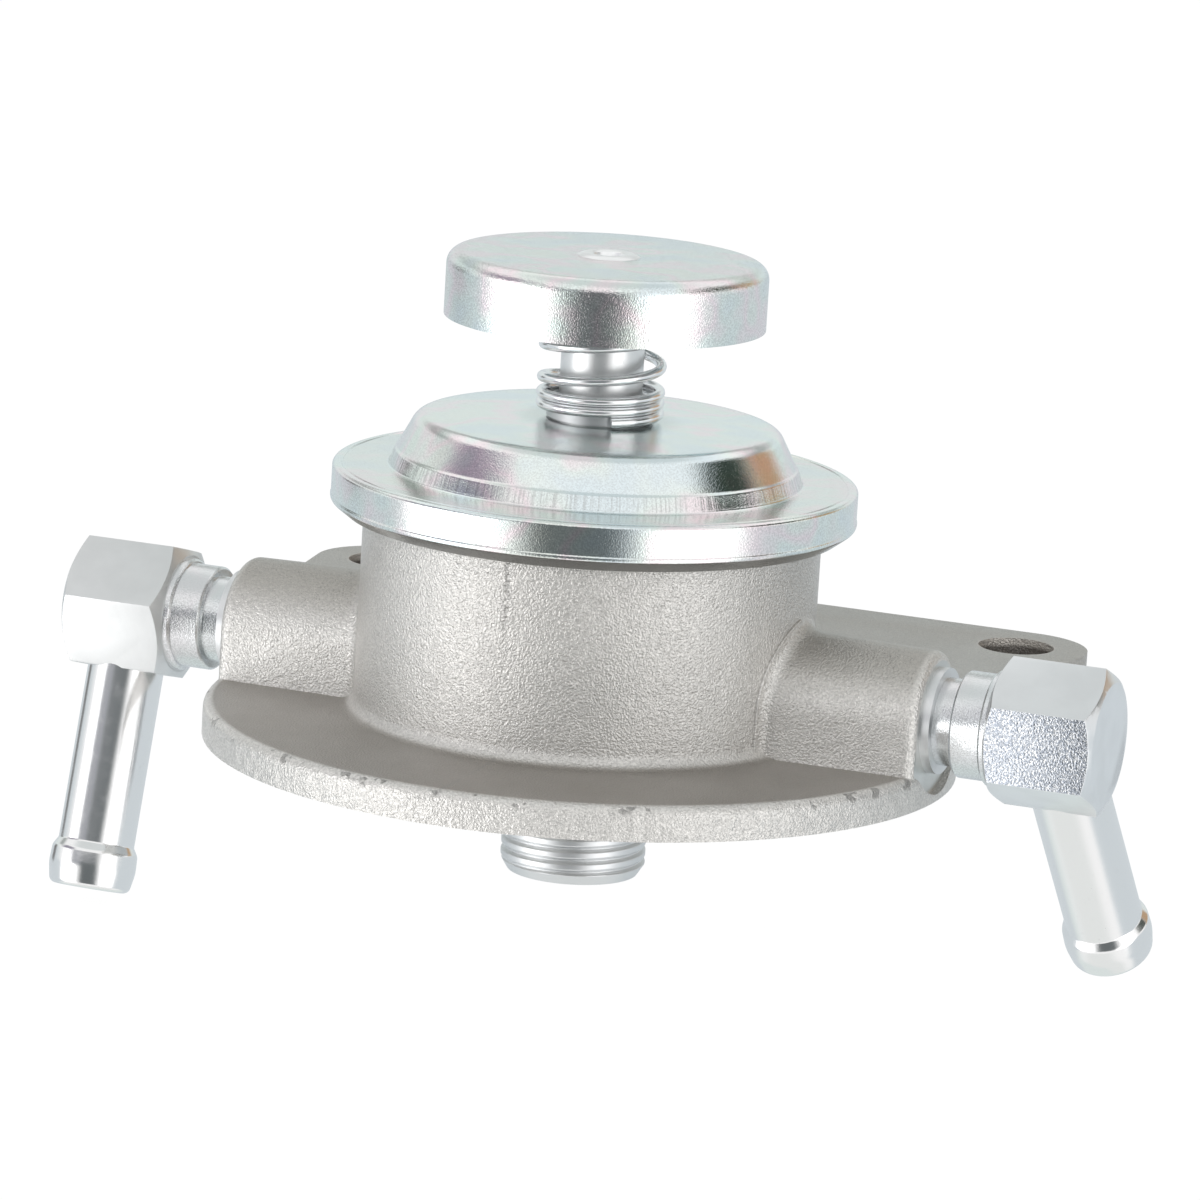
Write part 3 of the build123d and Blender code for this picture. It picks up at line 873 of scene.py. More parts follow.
class GeometryTree:
    """A geometry node group with named inputs, run on an object and turned into its mesh."""

    def __init__(self, name: str, inputs: dict[str, float]) -> None:
        """Start the group.

        Args:
            name: the group's name.
            inputs: names of its inputs with their values.
        """
        self.group = bpy.data.node_groups.new(name, "GeometryNodeTree")
        self.graph = Graph(self.group)
        self.values = inputs
        sides = self.group.interface
        self.sockets = {
            title: sides.new_socket(title, in_out="INPUT", socket_type="NodeSocketFloat") for title in inputs
        }
        sides.new_socket("Geometry", in_out="OUTPUT", socket_type="NodeSocketGeometry")
        self.entry = self.graph.add("NodeGroupInput")

    def value(self, title: str) -> Term:
        """One of the group's inputs."""
        return Term(self.graph, self.entry.outputs[title])

    def path(self, count: int) -> tuple[Socket, Term]:
        """Start a curve.

        Args:
            count: how many points it has.

        Returns:
            The curve, and how far along it each point is, from 0 to 1.
        """
        line = self.graph.add("GeometryNodeMeshLine", {"mode": "OFFSET"}, {"Count": count})
        curve = self.graph.add("GeometryNodeMeshToCurve", None, {0: line.outputs[0]})
        share = self.graph.term("GeometryNodeInputIndex", "Index") / float(count - 1)
        return curve.outputs[0], share

    def moved(self, geometry: Socket, spot: Term) -> Socket:
        """Geometry with its points put at a spot of their own."""
        sockets = {"Geometry": geometry, "Position": spot}
        return self.graph.add("GeometryNodeSetPosition", None, sockets).outputs[0]

    def tube(self, curve: Socket, radius: Term, sides: int) -> Socket:
        """Run a circle along a curve and close its ends.

        Args:
            curve: the curve.
            radius: the circle's radius.
            sides: how many sides it has.

        Returns:
            The tube.
        """
        sockets = {"Resolution": sides, "Radius": radius}
        ring = self.graph.add("GeometryNodeCurvePrimitiveCircle", None, sockets)
        sockets = {"Curve": curve, "Profile Curve": ring.outputs[0], "Fill Caps": True}
        return self.graph.add("GeometryNodeCurveToMesh", None, sockets).outputs[0]

    def made(self, name: str, geometry: Socket, finish: Finish) -> Piece:
        """Close the tree and turn it into a mesh.

        Args:
            name: the new object's name.
            geometry: the socket that holds the finished geometry.
            finish: the material that the tree sets.

        Returns:
            The object with a plain mesh and no modifier.
        """
        real = self.graph.add("GeometryNodeRealizeInstances", None, {0: geometry})
        sockets = {"Geometry": real.outputs[0], "Material": finish.material()}
        painted = self.graph.add("GeometryNodeSetMaterial", None, sockets)
        self.graph.add("NodeGroupOutput", None, {0: painted.outputs[0]})
        piece = bpy.data.objects.new(name, bpy.data.meshes.new(name))
        bpy.context.scene.collection.objects.link(piece)
        modifier = piece.modifiers.new("tree", "NODES")
        modifier.node_group = self.group
        for title, number in self.values.items():
            modifier[self.sockets[title].identifier] = float(number)
        return settled(piece)


@dataclass
class Coil:
    """A wound spring, in millimetres, its pitch opening between close end coils."""

    wire: float
    radius: float
    bottom: float
    top: float
    turns: float
    foot_turns: float = 0.0
    head_turns: float = 0.0
    close_pitch: float = 0.0
    start_angle: float = 0.0
    centre: Point = (0.0, 0.0)
    easing: float = 0.5
    steps_in_turn: int = 48

    def build(self, name: str, finish: Finish) -> Piece:
        """Wind the spring with a node tree.

        Args:
            name: the object's name.
            finish: the wire's finish.

        Returns:
            The spring as a plain mesh.
        """
        sizes = {
            "Wire": self.wire * MM,
            "Radius": self.radius * MM,
            "Bottom": (self.bottom + self.wire / 2) * MM,
            "Top": (self.top - self.wire / 2) * MM,
            "Turns": self.turns,
            "Foot Turns": self.foot_turns,
            "Head Turns": self.head_turns,
            "Close Pitch": self.close_pitch * MM,
            "Start Angle": math.radians(self.start_angle),
        }
        tree = GeometryTree(f"{name}_winding", sizes)
        value = tree.value
        curve, share = tree.path(int(self.turns * self.steps_in_turn) + 1)
        turn = share * value("Turns")
        open_turns = value("Turns") - value("Foot Turns") - value("Head Turns")
        opened = (turn - value("Foot Turns")) / open_turns
        opened = opened.maths("MAXIMUM", 0.0).maths("MINIMUM", 1.0)
        eased = opened * (1.0 - self.easing) + opened * opened * (3.0 - opened * 2.0) * self.easing
        rise = value("Top") - value("Bottom") - value("Close Pitch") * value("Turns")
        height = value("Bottom") + value("Close Pitch") * turn + rise * eased
        angle = turn * FULL_TURN + value("Start Angle")
        spot = tree.graph.joined(
            angle.maths("COSINE") * value("Radius") + self.centre[0] * MM,
            angle.maths("SINE") * value("Radius") + self.centre[1] * MM,
            height,
        )
        wound = tree.tube(tree.moved(curve, spot), value("Wire") * 0.5, 18)
        return smooth(tree.made(name, wound, finish), 50.0)


@dataclass
class ThreadedSleeve:
    """A screw thread's outside, in millimetres, with a chamfer at its lower end."""

    radius: float
    depth: float
    pitch: float
    bottom: float
    top: float
    chamfer: float
    chamfer_slope: float = 0.62
    run_in_start: float = 0.6
    run_in_end: float = 2.0
    rows_in_pitch: int = 20
    columns: int = 145

    def build(self, name: str, finish: Finish) -> Piece:
        """Cut the thread with a node tree.

        Args:
            name: the object's name.
            finish: its finish.

        Returns:
            The sleeve as a plain open mesh.
        """
        sizes = {
            "Radius": self.radius * MM,
            "Depth": self.depth * MM,
            "Pitch": self.pitch * MM,
            "Bottom": self.bottom * MM,
            "Top": self.top * MM,
            "Chamfer": self.chamfer * MM,
        }
        tree = GeometryTree(f"{name}_thread", sizes)
        graph, value = tree.graph, tree.value
        rows = int((self.top - self.bottom) / self.pitch * self.rows_in_pitch)
        sockets = {"Size X": 1.0, "Size Y": 1.0, "Vertices X": self.columns, "Vertices Y": rows}
        grid = graph.add("GeometryNodeMeshGrid", None, sockets)
        across, along, _ = graph.parts(graph.term("GeometryNodeInputPosition", "Position"))
        turn = across + 0.5
        height = value("Bottom") + (along + 0.5) * (value("Top") - value("Bottom"))
        phase = (height / value("Pitch") - turn).maths("FRACT") - 0.5
        above = height - value("Bottom")
        full = above.ramp(self.run_in_start * MM, self.run_in_end * MM)
        ridge = (phase.magnitude() * 2.0).ramp(0.35, 1.0) * full
        cut = value("Radius") - value("Chamfer") + above * self.chamfer_slope
        radius = (value("Radius") - value("Depth") * ridge).maths("MINIMUM", cut)
        angle = turn * FULL_TURN
        spot = graph.joined(angle.maths("COSINE") * radius, angle.maths("SINE") * radius, height)
        sockets = {"Geometry": tree.moved(grid.outputs[0], spot), "Distance": 1e-7}
        merged = graph.add("GeometryNodeMergeByDistance", None, sockets)
        return tree.made(name, merged.outputs[0], finish)


def joined(name: str, *pieces: Piece) -> Piece:
    """Join pieces that already sit at the origin into one object, keeping their materials.

    Args:
        name: name of the joined object.
        pieces: the pieces, which are used up.

    Returns:
        The joined object.
    """
    first = pieces[0]
    with bpy.context.temp_override(active_object=first, selected_editable_objects=list(pieces)):
        bpy.ops.object.join()
    first.name = name
    first.data.name = name
    return first


# Sub-assemblies


@dataclass
class FlashSeam:
    """The thin raised seam where the outlet boss runs into the barrel, in millimetres."""

    barrel: float = BARREL_RADIUS + 0.03
    reach: float = 11.0
    port_height: float = PORT_HEIGHT
    low: float = 5.6
    arc_length: float = 15.5
    thickness: float = 0.5
    points: int = 90

    def build(self, name: str) -> Piece:
        """Lay a tapering bead along the seam with a node tree.

        Args:
            name: the object's name.

        Returns:
            The bead as a plain mesh.
        """
        sizes = {
            "Barrel": self.barrel * MM,
            "Reach": self.reach * MM,
            "Height": self.port_height * MM,
            "Straight": (self.port_height - self.low) * MM,
            "Arc": self.arc_length * MM,
            "Thickness": self.thickness * MM,
        }
        tree = GeometryTree(f"{name}_path", sizes)
        graph, value = tree.graph, tree.value
        curve, share = tree.path(self.points)
        way = share * (value("Straight") + value("Arc")) - value("Straight")
        bend = way.maths("MAXIMUM", 0.0) / value("Reach")
        y = bend.maths("COSINE") * value("Reach") * -1.0
        z = value("Height") + bend.maths("SINE") * value("Reach") + way.maths("MINIMUM", 0.0)
        x = (value("Barrel") * value("Barrel") - y * y) ** 0.5
        laid = tree.moved(curve, graph.joined(x, y, z))
        swell = (share * (1.0 - share) * 4.0) ** 0.25 + 0.02
        sized = graph.add("GeometryNodeSetCurveRadius", None, {"Curve": laid, "Radius": swell})
        bead = tree.tube(sized.outputs[0], value("Thickness") * 0.5, 12)
        return smooth(tree.made(name, bead, CAST), 50.0)


class CastFace(Enum):
    """Finishes on the casting, in the order of its materials."""

    AS_CAST = CAST
    BOSS_END = SPOT_FACE
    GASKET = GASKET_FACE


@dataclass
class Housing:
    """The casting with its ports, its ears and its gasket face, in millimetres."""

    edge: float = 0.45
    boss_end: float = BOSS_END
    slack: float = 0.05
    square: float = 0.99

    def finish_of(self, face: bpy.types.MeshPolygon) -> CastFace:
        """Which finish a face of the casting has.

        Args:
            face: the face.

        Returns:
            The finish, bright on the boss ends and on the gasket face.
        """
        centre, way = face.center / MM, face.normal
        if abs(abs(centre.x) - self.boss_end) < self.slack and abs(way.x) > self.square:
            return CastFace.BOSS_END
        if centre.z < self.slack and way.z < -self.square:
            return CastFace.GASKET
        return CastFace.AS_CAST

    def build(self) -> None:
        """Build the casting and cut its bright faces."""
        body = copied("pump_body", "body_casting", self.edge)
        kinds = list(CastFace)
        for kind in kinds:
            body.data.materials.append(kind.value.material())
        for face in body.data.polygons:
            face.material_index = kinds.index(self.finish_of(face))
        body = joined("body_casting", body, FlashSeam().build("boss_seam"))
        dress(body, CAST, Body.HOUSING, "cast_body", "pump_body")


@dataclass
class Cover:
    """The pressed cover, in millimetres."""

    sheet: float = 1.0
    hole: float = 6.33
    dome_top: float = 43.7
    dome_edge: float = 21.3
    crown: float = 0.4
    annulus_top: float = 36.8
    groove: float = 32.95
    outer: float = 34.25
    lip_bottom: float = LIP_BOTTOM
    lip_inner: float = 31.0

    def outline(self) -> list[Point]:
        """Closed outline of the sheet, from the hole over the dome to the rolled lip and back.

        Returns:
            Points as (radius, height).
        """
        top, edge, flat = self.dome_top, self.dome_edge, self.annulus_top
        out, low = self.outer, self.lip_bottom
        rounds = (self.hole, 9.0, 12.0, 15.0, 18.0)
        crown = [(radius, top + self.crown * (1 - (radius / edge) ** 2)) for radius in rounds]
        skirt = [(edge, top), (23.62, top - 0.03), (25.98, flat + 2.35), (26.25, flat + 2.1), (27.0, flat)]
        groove = [(self.groove - 0.2, flat), (self.groove, flat - 0.14), (self.groove + 0.2, flat)]
        lip = [(out, flat - 0.02), (out, low + 2.15), (out + 0.1, low + 1.9), (out + 0.05, low + 1.45)]
        hem = [(32.4, low), (self.lip_inner, low)]
        bends = [2.3, 1.2, 0.5, 0.5, 0.08, 0.08, 0.08, 1.35, 0.4, 0.3, 0.5, 0.4]
        under = [
            (self.lip_inner, low + self.sheet),
            (out - self.sheet, low + self.sheet),
            (out - self.sheet, flat - self.sheet),
            (25.9, flat - self.sheet),
            (25.2, flat + 1.6),
            (23.1, top - self.sheet),
            (self.hole, top - self.sheet),
        ]
        return crown + rounded(skirt + groove + lip + hem, bends) + rounded(under, [0.2, 0.6, 1.0, 1.2, 1.2])

    def build(self) -> None:
        """Build the cover."""
        cover = turned("cover_pressing", self.outline(), 224)
        dress(cover, COVER_ZINC, Body.HOUSING, "zinc_plate", "top_cover")


@dataclass
class RodBush:
    """The rod's bush with its dust seal, in millimetres."""

    bore: float = 5.46
    sleeve: float = 6.3
    collar: float = 6.9
    flange: float = 9.5
    seat: float = 7.8
    bottom: float = 41.3
    seal_top: float = 42.1
    flange_top: float = 42.7
    collar_bottom: float = 44.3
    top: float = 46.2

    def outline(self) -> list[Point]:
        """Closed outline of the bush, with the seal's groove in its foot.

        Returns:
            Points as (radius, height).
        """
        low, top, out, beside = self.bottom, self.top, self.flange, self.seat + 0.05
        groove = [(self.bore, low), (self.seat, low), (self.seat, self.seal_top), (beside, self.seal_top)]
        flange = [(beside, low), (out - 0.1, low), (out, low + 0.1), (out, self.flange_top)]
        sleeve = [(self.sleeve, self.flange_top), (self.sleeve, self.collar_bottom)]
        collar = [(self.collar, self.collar_bottom), (self.collar, top - 0.5), (self.collar - 0.3, top - 0.2)]
        return groove + flange + sleeve + collar + [(6.0, top), (5.7, top), (self.bore, top - 0.25)]

    def build(self) -> None:
        """Build the bush and the seal."""
        bush = turned("rod_bush_sleeve", self.outline(), 96)
        dress(bush, BUSH_STEEL, Body.HOUSING, "bush_steel", "rod_bush")
        lip, edge, low, top = self.bore, self.seat - 0.05, self.bottom, self.seal_top
        seal = turned("rod_dust_seal", [(lip, low + 0.05), (edge, low), (edge, top), (lip, top)], 96)
        dress(seal, RUBBER, Body.HOUSING, "seal_rubber", "dust_seal")


@dataclass
class Plunger:
    """The press knob on its rod, with the plates on the diaphragm, in millimetres."""

    knob_radius: float = 20.9
    knob_top: float = 65.4
    knob_bottom: float = 56.9
    knob_sheet: float = 1.2
    rod_radius: float = 5.4
    stem_radius: float = 4.0
    head_radius: float = 5.2
    head_bottom: float = 34.2
    head_top: float = 36.0
    upper_plate: float = 40.4
    lower_plate: float = 37.2
    plate_sheet: float = 1.0

    def knob_outline(self) -> list[Point]:
        """Closed outline of the cup.

        Returns:
            Points as (radius, height).
        """
        out, top, low, wall = self.knob_radius, self.knob_top, self.knob_bottom, self.knob_sheet
        outside = rounded([(STEM_HOLE, top), (out, top), (out, low + 0.02)], [1.9], 10)
        inside = rounded([(out - wall, low), (out - wall, top - wall), (STEM_HOLE, top - wall)], [0.8], 6)
        return outside + [(out - 0.2, low)] + inside

    def rod_outline(self) -> list[Point]:
        """Closed outline of the rod, from its riveted head to its staked end.

        Returns:
            Points as (radius, height).
        """
        rod, stem, head = self.rod_radius, self.stem_radius, self.head_radius
        low, step, top = self.head_bottom, self.upper_plate, self.knob_top
        seat = top - self.knob_sheet
        riveted = [(0.0, low), (4.5, low), (5.0, low + 0.4), (head, low + 0.9), (head, self.head_top)]
        shank = [(stem, self.head_top), (stem, step), (rod - 0.1, step), (rod, step + 0.1), (rod, seat)]
        stake = [(stem, seat), (stem, top - 0.12), (4.08, top + 0.02), (3.7, top + 0.2), (3.3, top + 0.36)]
        stake += [(2.9, top + 0.4), (2.3, top + 0.38), (2.0, top + 0.2)]
        dimple = [(1.8, top - 0.35), (1.5, top - 0.5), (0.6, top - 0.45), (0.0, top - 0.2)]
        return riveted + shank + stake + dimple

    def plate_outline(self, level: float, way: int) -> list[Point]:
        """Closed outline of a diaphragm plate, its rim turned away from the diaphragm.

        Args:
            level: height of its outer face.
            way: 1 for the upper plate, -1 for the lower one.

        Returns:
            Points as (radius, height).
        """
        near = level - way * self.plate_sheet
        outside = rounded([(STEM_HOLE, level), (16.9, level), (18.35, level + way * 0.85)], [0.8])
        return outside + rounded([(18.7, level + way * 0.1), (17.15, near), (STEM_HOLE, near)], [0.8])

    def build(self) -> None:
        """Build the knob, the rod and the plates."""
        knob = turned("press_knob_cup", self.knob_outline(), 224)
        dress(knob, KNOB_ZINC, Body.PLUNGER, "zinc_plate", "press_knob")
        rod = turned("plunger_rod_turned", self.rod_outline(), 96)
        dress(rod, ROD_PLATE, Body.PLUNGER, "rod_steel", "plunger_rod")
        for name, level, way in (("upper", self.upper_plate, 1), ("lower", self.lower_plate, -1)):
            plate = turned(f"{name}_plate_pressing", self.plate_outline(level, way), 128)
            dress(plate, PLATE_STEEL, Body.PLUNGER, "plate_steel", f"{name}_diaphragm_plate")
        keep_node("rod_washer", PLATE_STEEL)


@dataclass
class ReturnSpring:
    """The knob's spring between the cover and the knob, in millimetres."""

    wire: float = 1.35
    radius: float = 7.7
    bottom: float = 44.2
    top: float = 63.9
    stroke: float = 9.0

    def build(self) -> None:
        """Wind the spring."""
        coil = Coil(
            self.wire,
            self.radius,
            self.bottom,
            self.top,
            turns=6.66,
            foot_turns=2.5,
            head_turns=1.0,
            close_pitch=1.37,
            start_angle=-58.4,
            easing=0.05,
        )
        spring = coil.build("knob_return_spring", SPRING_PLATE)
        dress(spring, SPRING_PLATE, Body.HOUSING, "spring_wire", "knob_spring")
        tall = self.top - self.bottom
        keep = (tall - self.stroke) / tall
        self.bottom * MM
        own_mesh(spring)


@dataclass
class Membrane:
    """The rubber diaphragm, its middle carried by the plates, in millimetres."""

    thickness: float = 1.1
    middle: float = 38.25
    clamped: float = 34.65
    outer: float = 31.8
    bend: float = 1.5
    fixed_below: float = 35.8
    carried_above: float = 38.2

    def build(self) -> None:
        """Build the sheet."""
        bends, inner, outer = [self.bend, self.bend], STEM_HOLE, self.outer
        high, low = self.middle + self.thickness, self.clamped + self.thickness
        over = rounded([(inner, high), (19.7, high), (25.6, low), (outer, low)], bends, 8)
        high, low = self.middle, self.clamped
        under = rounded([(outer, low), (25.2, low), (19.4, high), (inner, high)], bends, 8)
        sheet = turned("diaphragm_sheet", over + under, 128)
        dress(sheet, RUBBER, Body.HOUSING, "diaphragm_rubber", "diaphragm")
        sheet.parent = None
        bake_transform(sheet)


@dataclass
class FilterStud:
    """The hollow threaded stud that the filter screws on, in millimetres."""

    radius: float = 9.525
    pitch: float = 1.5875
    depth: float = 0.4
    reach: float = 16.3
    bore: float = 5.2
    chamfer: float = 0.9
    thread_top: float = -0.05
    socket_top: float = 6.4
    relief_top: float = 1.2

    def core_outline(self) -> list[Point]:
        """Closed outline of what the thread sits on, with the bore and the relief under the flange.

        Returns:
            Points as (radius, height).
        """
        low, out, bore = -self.reach, self.radius, self.bore
        bored = [(out - self.chamfer, low), (bore + 0.5, low), (bore, low + 0.5), (bore, self.socket_top)]
        seated = [(out, self.socket_top), (out, self.relief_top), (out - 0.6, self.relief_top)]
        return bored + seated + [(out - 0.9, self.thread_top), (out - 1.5, -0.4), (out - 1.5, low + 0.2)]

    def build(self) -> None:
        """Cut the thread and close the stud with its bore."""
        low, top = -self.reach, self.thread_top
        sleeve = ThreadedSleeve(self.radius, self.depth, self.pitch, low, top, self.chamfer)
        thread = sleeve.build("stud_thread", STUD_STEEL)
        core = turned("stud_core", self.core_outline(), 144)
        core.data.materials.append(STUD_STEEL.material())
        stud = joined("filter_stud_threaded", thread, core)
        dress(smooth(stud, 50.0), STUD_STEEL, Body.HOUSING, "stud_steel", "filter_stud")


@dataclass
class Elbow:
    """One port's elbow with its washer and its hose pipe, in millimetres and degrees."""

    port: Port
    turn: float
    lean: float
    edge: float = 0.3
    collar_end: float = 57.15
    pipe_place: float = 64.4
    height: float = PORT_HEIGHT
    socket_floor: float = 4.5
    pipe_radius: float = 5.1
    bore: float = 3.7
    bead_start: float = 32.2
    bead_radius: float = 5.85
    bead_length: float = 6.0

    def pipe_matrix(self) -> Matrix:
        """Where the pipe's own Z axis runs, from the port's axis down and outwards.

        Returns:
            The pipe's place, in metres.
        """
        side = self.port.value
        turn, lean = math.radians(self.turn - 90.0), math.radians(self.lean)
        across = Vector((0.0, side, 0.0)) * math.cos(turn) + UP * math.sin(turn)
        way = across * math.cos(lean) + Vector((side, 0.0, 0.0)) * math.sin(lean)
        spin = UP.rotation_difference(way).to_matrix().to_4x4()
        return Matrix.Translation(Vector((side * self.pipe_place, 0.0, self.height)) * MM) @ spin

    def pipe_outline(self) -> list[Point]:
        """Closed outline of the pipe with its bead.

        Returns:
            Points as (radius, height).
        """
        out, bead, start, floor = self.pipe_radius, self.bead_radius, self.bead_start, self.socket_floor
        end = start + self.bead_length
        wall = [(out, floor), (out, start - 0.2)]
        round_bead = [(bead - 0.1, start + 0.9), (bead, start + 3.2), (bead - 0.5, end), (self.bore, end)]
        return rounded(wall + round_bead, [0.6, 1.2, 6.0, 1.6], 8) + [(self.bore, floor)]

    def build(self) -> None:
        """Build the block, the pipe and the washer."""
        label = self.port.label
        flats = SMOOTH_HEX if self.port is Port.INLET else SPARKLE_HEX
        block = copied(f"{label}_elbow", f"{label}_elbow_block", self.edge)
        block.data.materials.append(flats.material())
        block.data.materials.append(COLLAR_ZINC.material())
        for face in block.data.polygons:
            face.material_index = 1 if abs(face.center.x) / MM < self.collar_end else 0
        dress(block, flats, Body.HOUSING, "satin_plate", f"{label}_elbow")
        pipe = turned(f"{label}_beaded_pipe", self.pipe_outline(), 96, self.pipe_matrix())
        dress(pipe, PIPE_PLATE, Body.HOUSING, "bright_plate", f"{label}_hose_pipe")
        keep_node(f"{label}_washer", WASHER_ALLOY)


@dataclass
class CheckValve:
    """One check valve in the chamber's floor, in millimetres."""

    port: Port
    centre: Point
    spring_bottom: float
    spring_top: float
    wire: float = 0.4
    spring_radius: float = 2.3
    turns: float = 3.0
    lift: float = 1.0

    def build(self) -> None:
        """Finish the valve's pieces and wind its spring."""
        label = self.port.label
        keep_node(f"{label}_valve_seat", VALVE_PLASTIC)
        keep_node(f"{label}_valve_cage", VALVE_PLASTIC)
        keep_node(f"{label}_valve_disc", RUBBER)
        low, high = self.spring_bottom, self.spring_top
        coil = Coil(self.wire, self.spring_radius, low, high, self.turns, centre=self.centre)
        spring = coil.build(f"{label}_closing_spring", SPRING_PLATE)
        dress(spring, SPRING_PLATE, Body.HOUSING, "spring_wire", f"{label}_valve_spring")
        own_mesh(spring)


# Studio


@dataclass(frozen=True)
class Zone:
    """A patch of the room as gloss shows it: its span round and up in degrees, each with its softness."""

    around: tuple[float, float, float]
    rise: tuple[float, float, float]
    colour: Colour

    def lay(self, graph: Graph, room: Term | Colour, around: Term, rise: Term) -> Term:
        """Lay the patch on the room.

        Args:
            graph: the world's tree.
            room: the room's colour before.
            around: angle round from the camera's side.
            rise: angle above the horizon.

        Returns:
            The room's colour with the patch.
        """
        return graph.mix(around.band(*self.around) * rise.band(*self.rise), room, self.colour)


# The bright window with its two brighter ends, and the dark patches over the rest of the room
WINDOWS = (
    Zone((-88.0, 62.0, 10.0), (-36.0, 12.0, 8.0), (1.18, 1.18, 1.18)),
    Zone((-84.0, -46.0, 10.0), (-36.0, 12.0, 8.0), (2.75, 2.75, 2.75)),
    Zone((28.0, 66.0, 8.0), (-36.0, 12.0, 8.0), (1.9, 1.9, 1.9)),
)
PATCHES = (
    Zone((-104.0, -60.0, 8.0), (17.0, 40.0, 5.0), (0.31, 0.29, 0.35)),
    Zone((73.0, 111.0, 4.0), (17.0, 40.0, 4.0), (0.04, 0.055, 0.045)),
    Zone((112.0, 138.0, 4.0), (8.0, 26.0, 3.0), (0.50, 0.34, 0.21)),
    Zone((-138.0, -122.0, 3.0), (-7.0, 8.0, 2.0), (0.2, 0.2, 0.2)),
    Zone((-58.0, 8.0, 5.0), (8.0, 21.0, 4.0), (0.34, 0.35, 0.38)),
    Zone((-31.0, 18.0, 10.0), (-32.0, 20.0, 6.0), (0.15, 0.165, 0.17)),
)


def direction(azimuth: float, elevation: float) -> Vector:
    """Unit vector from the object at an azimuth from the front and an elevation, in degrees."""
    turn, rise = math.radians(azimuth), math.radians(elevation)
    return Vector((math.sin(turn) * math.cos(rise), -math.cos(turn) * math.cos(rise), math.sin(rise)))


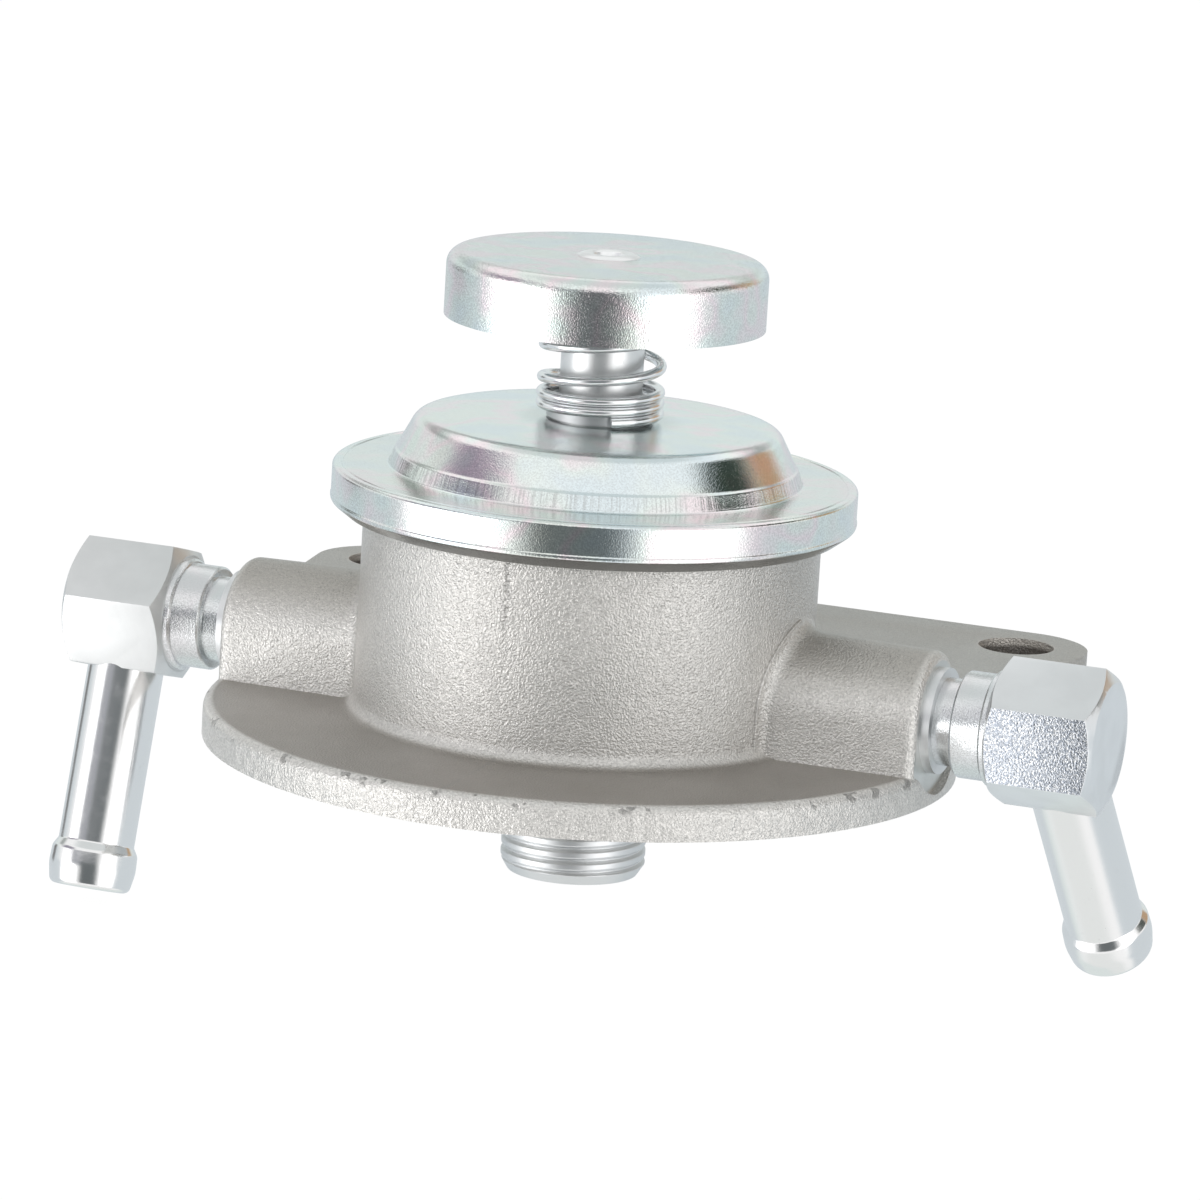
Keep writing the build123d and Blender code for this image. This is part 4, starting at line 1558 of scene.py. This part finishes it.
@dataclass
class Studio:
    """Camera, light and floor, with the camera's place as measured from the picture."""

    azimuth: float = 20.2
    elevation: float = 13.3
    roll: float = -3.45
    distance: float = 0.85
    pixels_per_mm: float = 7.62
    origin_at: Point = (579.1, 748.0)
    picture: float = 1200.0
    sensor: float = 36.0
    lamp_distance: float = 0.9
    lamp_height: float = 0.02
    floor_height: float = -0.0285
    floor_reach: float = 3.0
    matt_light: Colour = (0.56, 0.56, 0.56)
    ceiling: Colour = (0.70, 0.73, 0.73)
    front_flat: Colour = (0.84, 0.86, 0.85)
    back_wall: Colour = (0.76, 0.82, 0.81)
    side_wall: Colour = (0.66, 0.71, 0.74)
    back_gap: Colour = (0.34, 0.37, 0.36)

    def camera(self) -> None:
        """Place the camera so that the origin falls where the picture has it."""
        back = direction(self.azimuth, self.elevation)
        right = (-back).cross(UP).normalized()
        level = Matrix((right, back.cross(right), back))
        focus = self.pixels_per_mm / MM * self.distance
        middle = self.picture / 2
        aim = Vector(((self.origin_at[0] - middle) / focus, (middle - self.origin_at[1]) / focus, -1.0))
        tilt = Vector((0.0, 0.0, -1.0)).rotation_difference(aim).to_matrix()
        to_camera = tilt @ Matrix.Rotation(math.radians(self.roll), 3, "Z") @ level
        data = bpy.data.cameras.new("camera")
        data.sensor_width = self.sensor
        data.lens = focus / self.picture * self.sensor
        data.clip_start, data.clip_end = 0.05, 20.0
        view = bpy.data.objects.new("camera", data)
        bpy.context.scene.collection.objects.link(view)
        view.matrix_world = Matrix.Translation(back * self.distance) @ to_camera.transposed().to_4x4()
        bpy.context.scene.camera = view

    def room(self, graph: Graph) -> Term:
        """Colour of the room that gloss shows, by the way that a ray goes.

        Args:
            graph: the world's tree.

        Returns:
            The colour.
        """
        turn = math.radians(self.azimuth)
        x, y, z = graph.parts(graph.term("ShaderNodeTexCoord", "Generated"))
        ahead = x * math.sin(turn) - y * math.cos(turn)
        aside = x * math.cos(turn) + y * math.sin(turn)
        around = aside.maths("ARCTAN2", ahead) * (180 / math.pi)
        rise = z.maths("ARCSINE") * (180 / math.pi)
        beside = around.ramp(60.0, 80.0) + around.fall(-98.0, -78.0)
        behind = around.magnitude().ramp(95.0, 130.0)
        room = WHITE
        for window in WINDOWS:
            room = window.lay(graph, room, around, rise)
        room = graph.mix(rise.ramp(48.0, 64.0), room, self.ceiling)
        room = graph.mix(rise.fall(-66.0, -52.0), room, self.front_flat)
        room = graph.mix(behind * rise.fall(15.0, 21.0), room, self.back_wall)
        room = graph.mix(beside * rise.fall(-2.0, 10.0) * rise.ramp(-50.0, -40.0), room, self.side_wall)
        room = graph.mix(behind * rise.band(21.0, 34.0, 5.0), room, self.back_gap)
        for patch in PATCHES:
            room = patch.lay(graph, room, around, rise)
        return room

    def world(self) -> None:
        """Light the room: white to the camera, plain to matt faces and a furnished room to gloss."""
        sky = bpy.data.worlds.new("room")
        bpy.context.scene.world = sky
        sky.use_nodes = True
        graph = Graph(sky.node_tree)
        rays = graph.add("ShaderNodeLightPath")
        plain = graph.mix(Term(graph, rays.outputs["Is Glossy Ray"]), self.matt_light, self.room(graph))
        seen = graph.mix(Term(graph, rays.outputs["Is Camera Ray"]), plain, WHITE)
        light = graph.add("ShaderNodeBackground", None, {"Color": seen, "Strength": 1.0})
        graph.add("ShaderNodeOutputWorld", None, {"Surface": light.outputs[0]})

    def lamp(self, name: str, azimuth: float, elevation: float, size: float, power: float) -> None:
        """Hang one soft lamp that looks at the object.

        Args:
            name: the lamp's name.
            azimuth: way to it round the object, in degrees.
            elevation: way up to it, in degrees.
            size: its side, in metres.
            power: its power, in watts.
        """
        data = bpy.data.lights.new(name, "AREA")
        data.size, data.energy = size, power
        lamp = bpy.data.objects.new(name, data)
        bpy.context.scene.collection.objects.link(lamp)
        back = direction(azimuth, elevation)
        lamp.location = back * self.lamp_distance + UP * self.lamp_height
        lamp.rotation_euler = back.to_track_quat("Z", "Y").to_euler()
        lamp.visible_glossy = False

    def floor(self) -> None:
        """Lay a white floor that keeps a light shadow and is clear from below."""
        mesh = bpy.data.meshes.new("floor")
        sides = ((-1, -1), (1, -1), (1, 1), (-1, 1))
        corners = [(x * self.floor_reach, y * self.floor_reach, self.floor_height) for x, y in sides]
        mesh.from_pydata(corners, [], [(0, 1, 2, 3)])
        floor = bpy.data.objects.new("floor", mesh)
        bpy.context.scene.collection.objects.link(floor)
        paper = bpy.data.materials.new("white_paper")
        paper.use_nodes = True
        graph = Graph(paper.node_tree)
        rays = graph.add("ShaderNodeLightPath")
        matt = graph.add("ShaderNodeBsdfDiffuse", None, {"Color": (0.86, 0.86, 0.86, 1.0)})
        glow = graph.add("ShaderNodeEmission", None, {"Color": (*WHITE, 1.0), "Strength": 1.03})
        share = Term(graph, rays.outputs["Is Camera Ray"]) * 0.96
        both = graph.add("ShaderNodeMixShader", None, {0: share, 1: matt.outputs[0], 2: glow.outputs[0]})
        clear = graph.add("ShaderNodeBsdfTransparent")
        below = graph.term("ShaderNodeNewGeometry", "Backfacing")
        shown = graph.add("ShaderNodeMixShader", None, {0: below, 1: both.outputs[0], 2: clear.outputs[0]})
        graph.add("ShaderNodeOutputMaterial", None, {"Surface": shown.outputs[0]})
        mesh.materials.append(paper)
        floor.visible_glossy = False

    def build(self) -> None:
        """Set up the whole studio."""
        self.camera()
        self.world()
        self.lamp("key", -14.0, 32.0, 0.6, 4.2)
        self.lamp("fill", 75.0, 30.0, 0.7, 0.6)
        self.floor()
        bpy.context.scene.view_settings.view_transform = "Standard"


def main() -> None:
    """Build every sub-assembly in order."""
    logging.basicConfig(level=logging.INFO, format="%(name)s: %(message)s")
    parts: list = [
        Housing(),
        Cover(),
        RodBush(),
        Plunger(),
        ReturnSpring(),
        Membrane(),
        FilterStud(),
        Elbow(Port.INLET, 15.0, 1.0),
        Elbow(Port.OUTLET, 32.0, 6.5),
        CheckValve(Port.INLET, (-13.5, 0.0), 19.1, 21.6),
        CheckValve(Port.OUTLET, (6.0, -13.2), 16.9, 19.4),
    ]
    for part in parts:
        part.build()
        LOG.info("built %s", type(part).__name__)
    Studio().build()


if __name__ == "__main__":
    main()
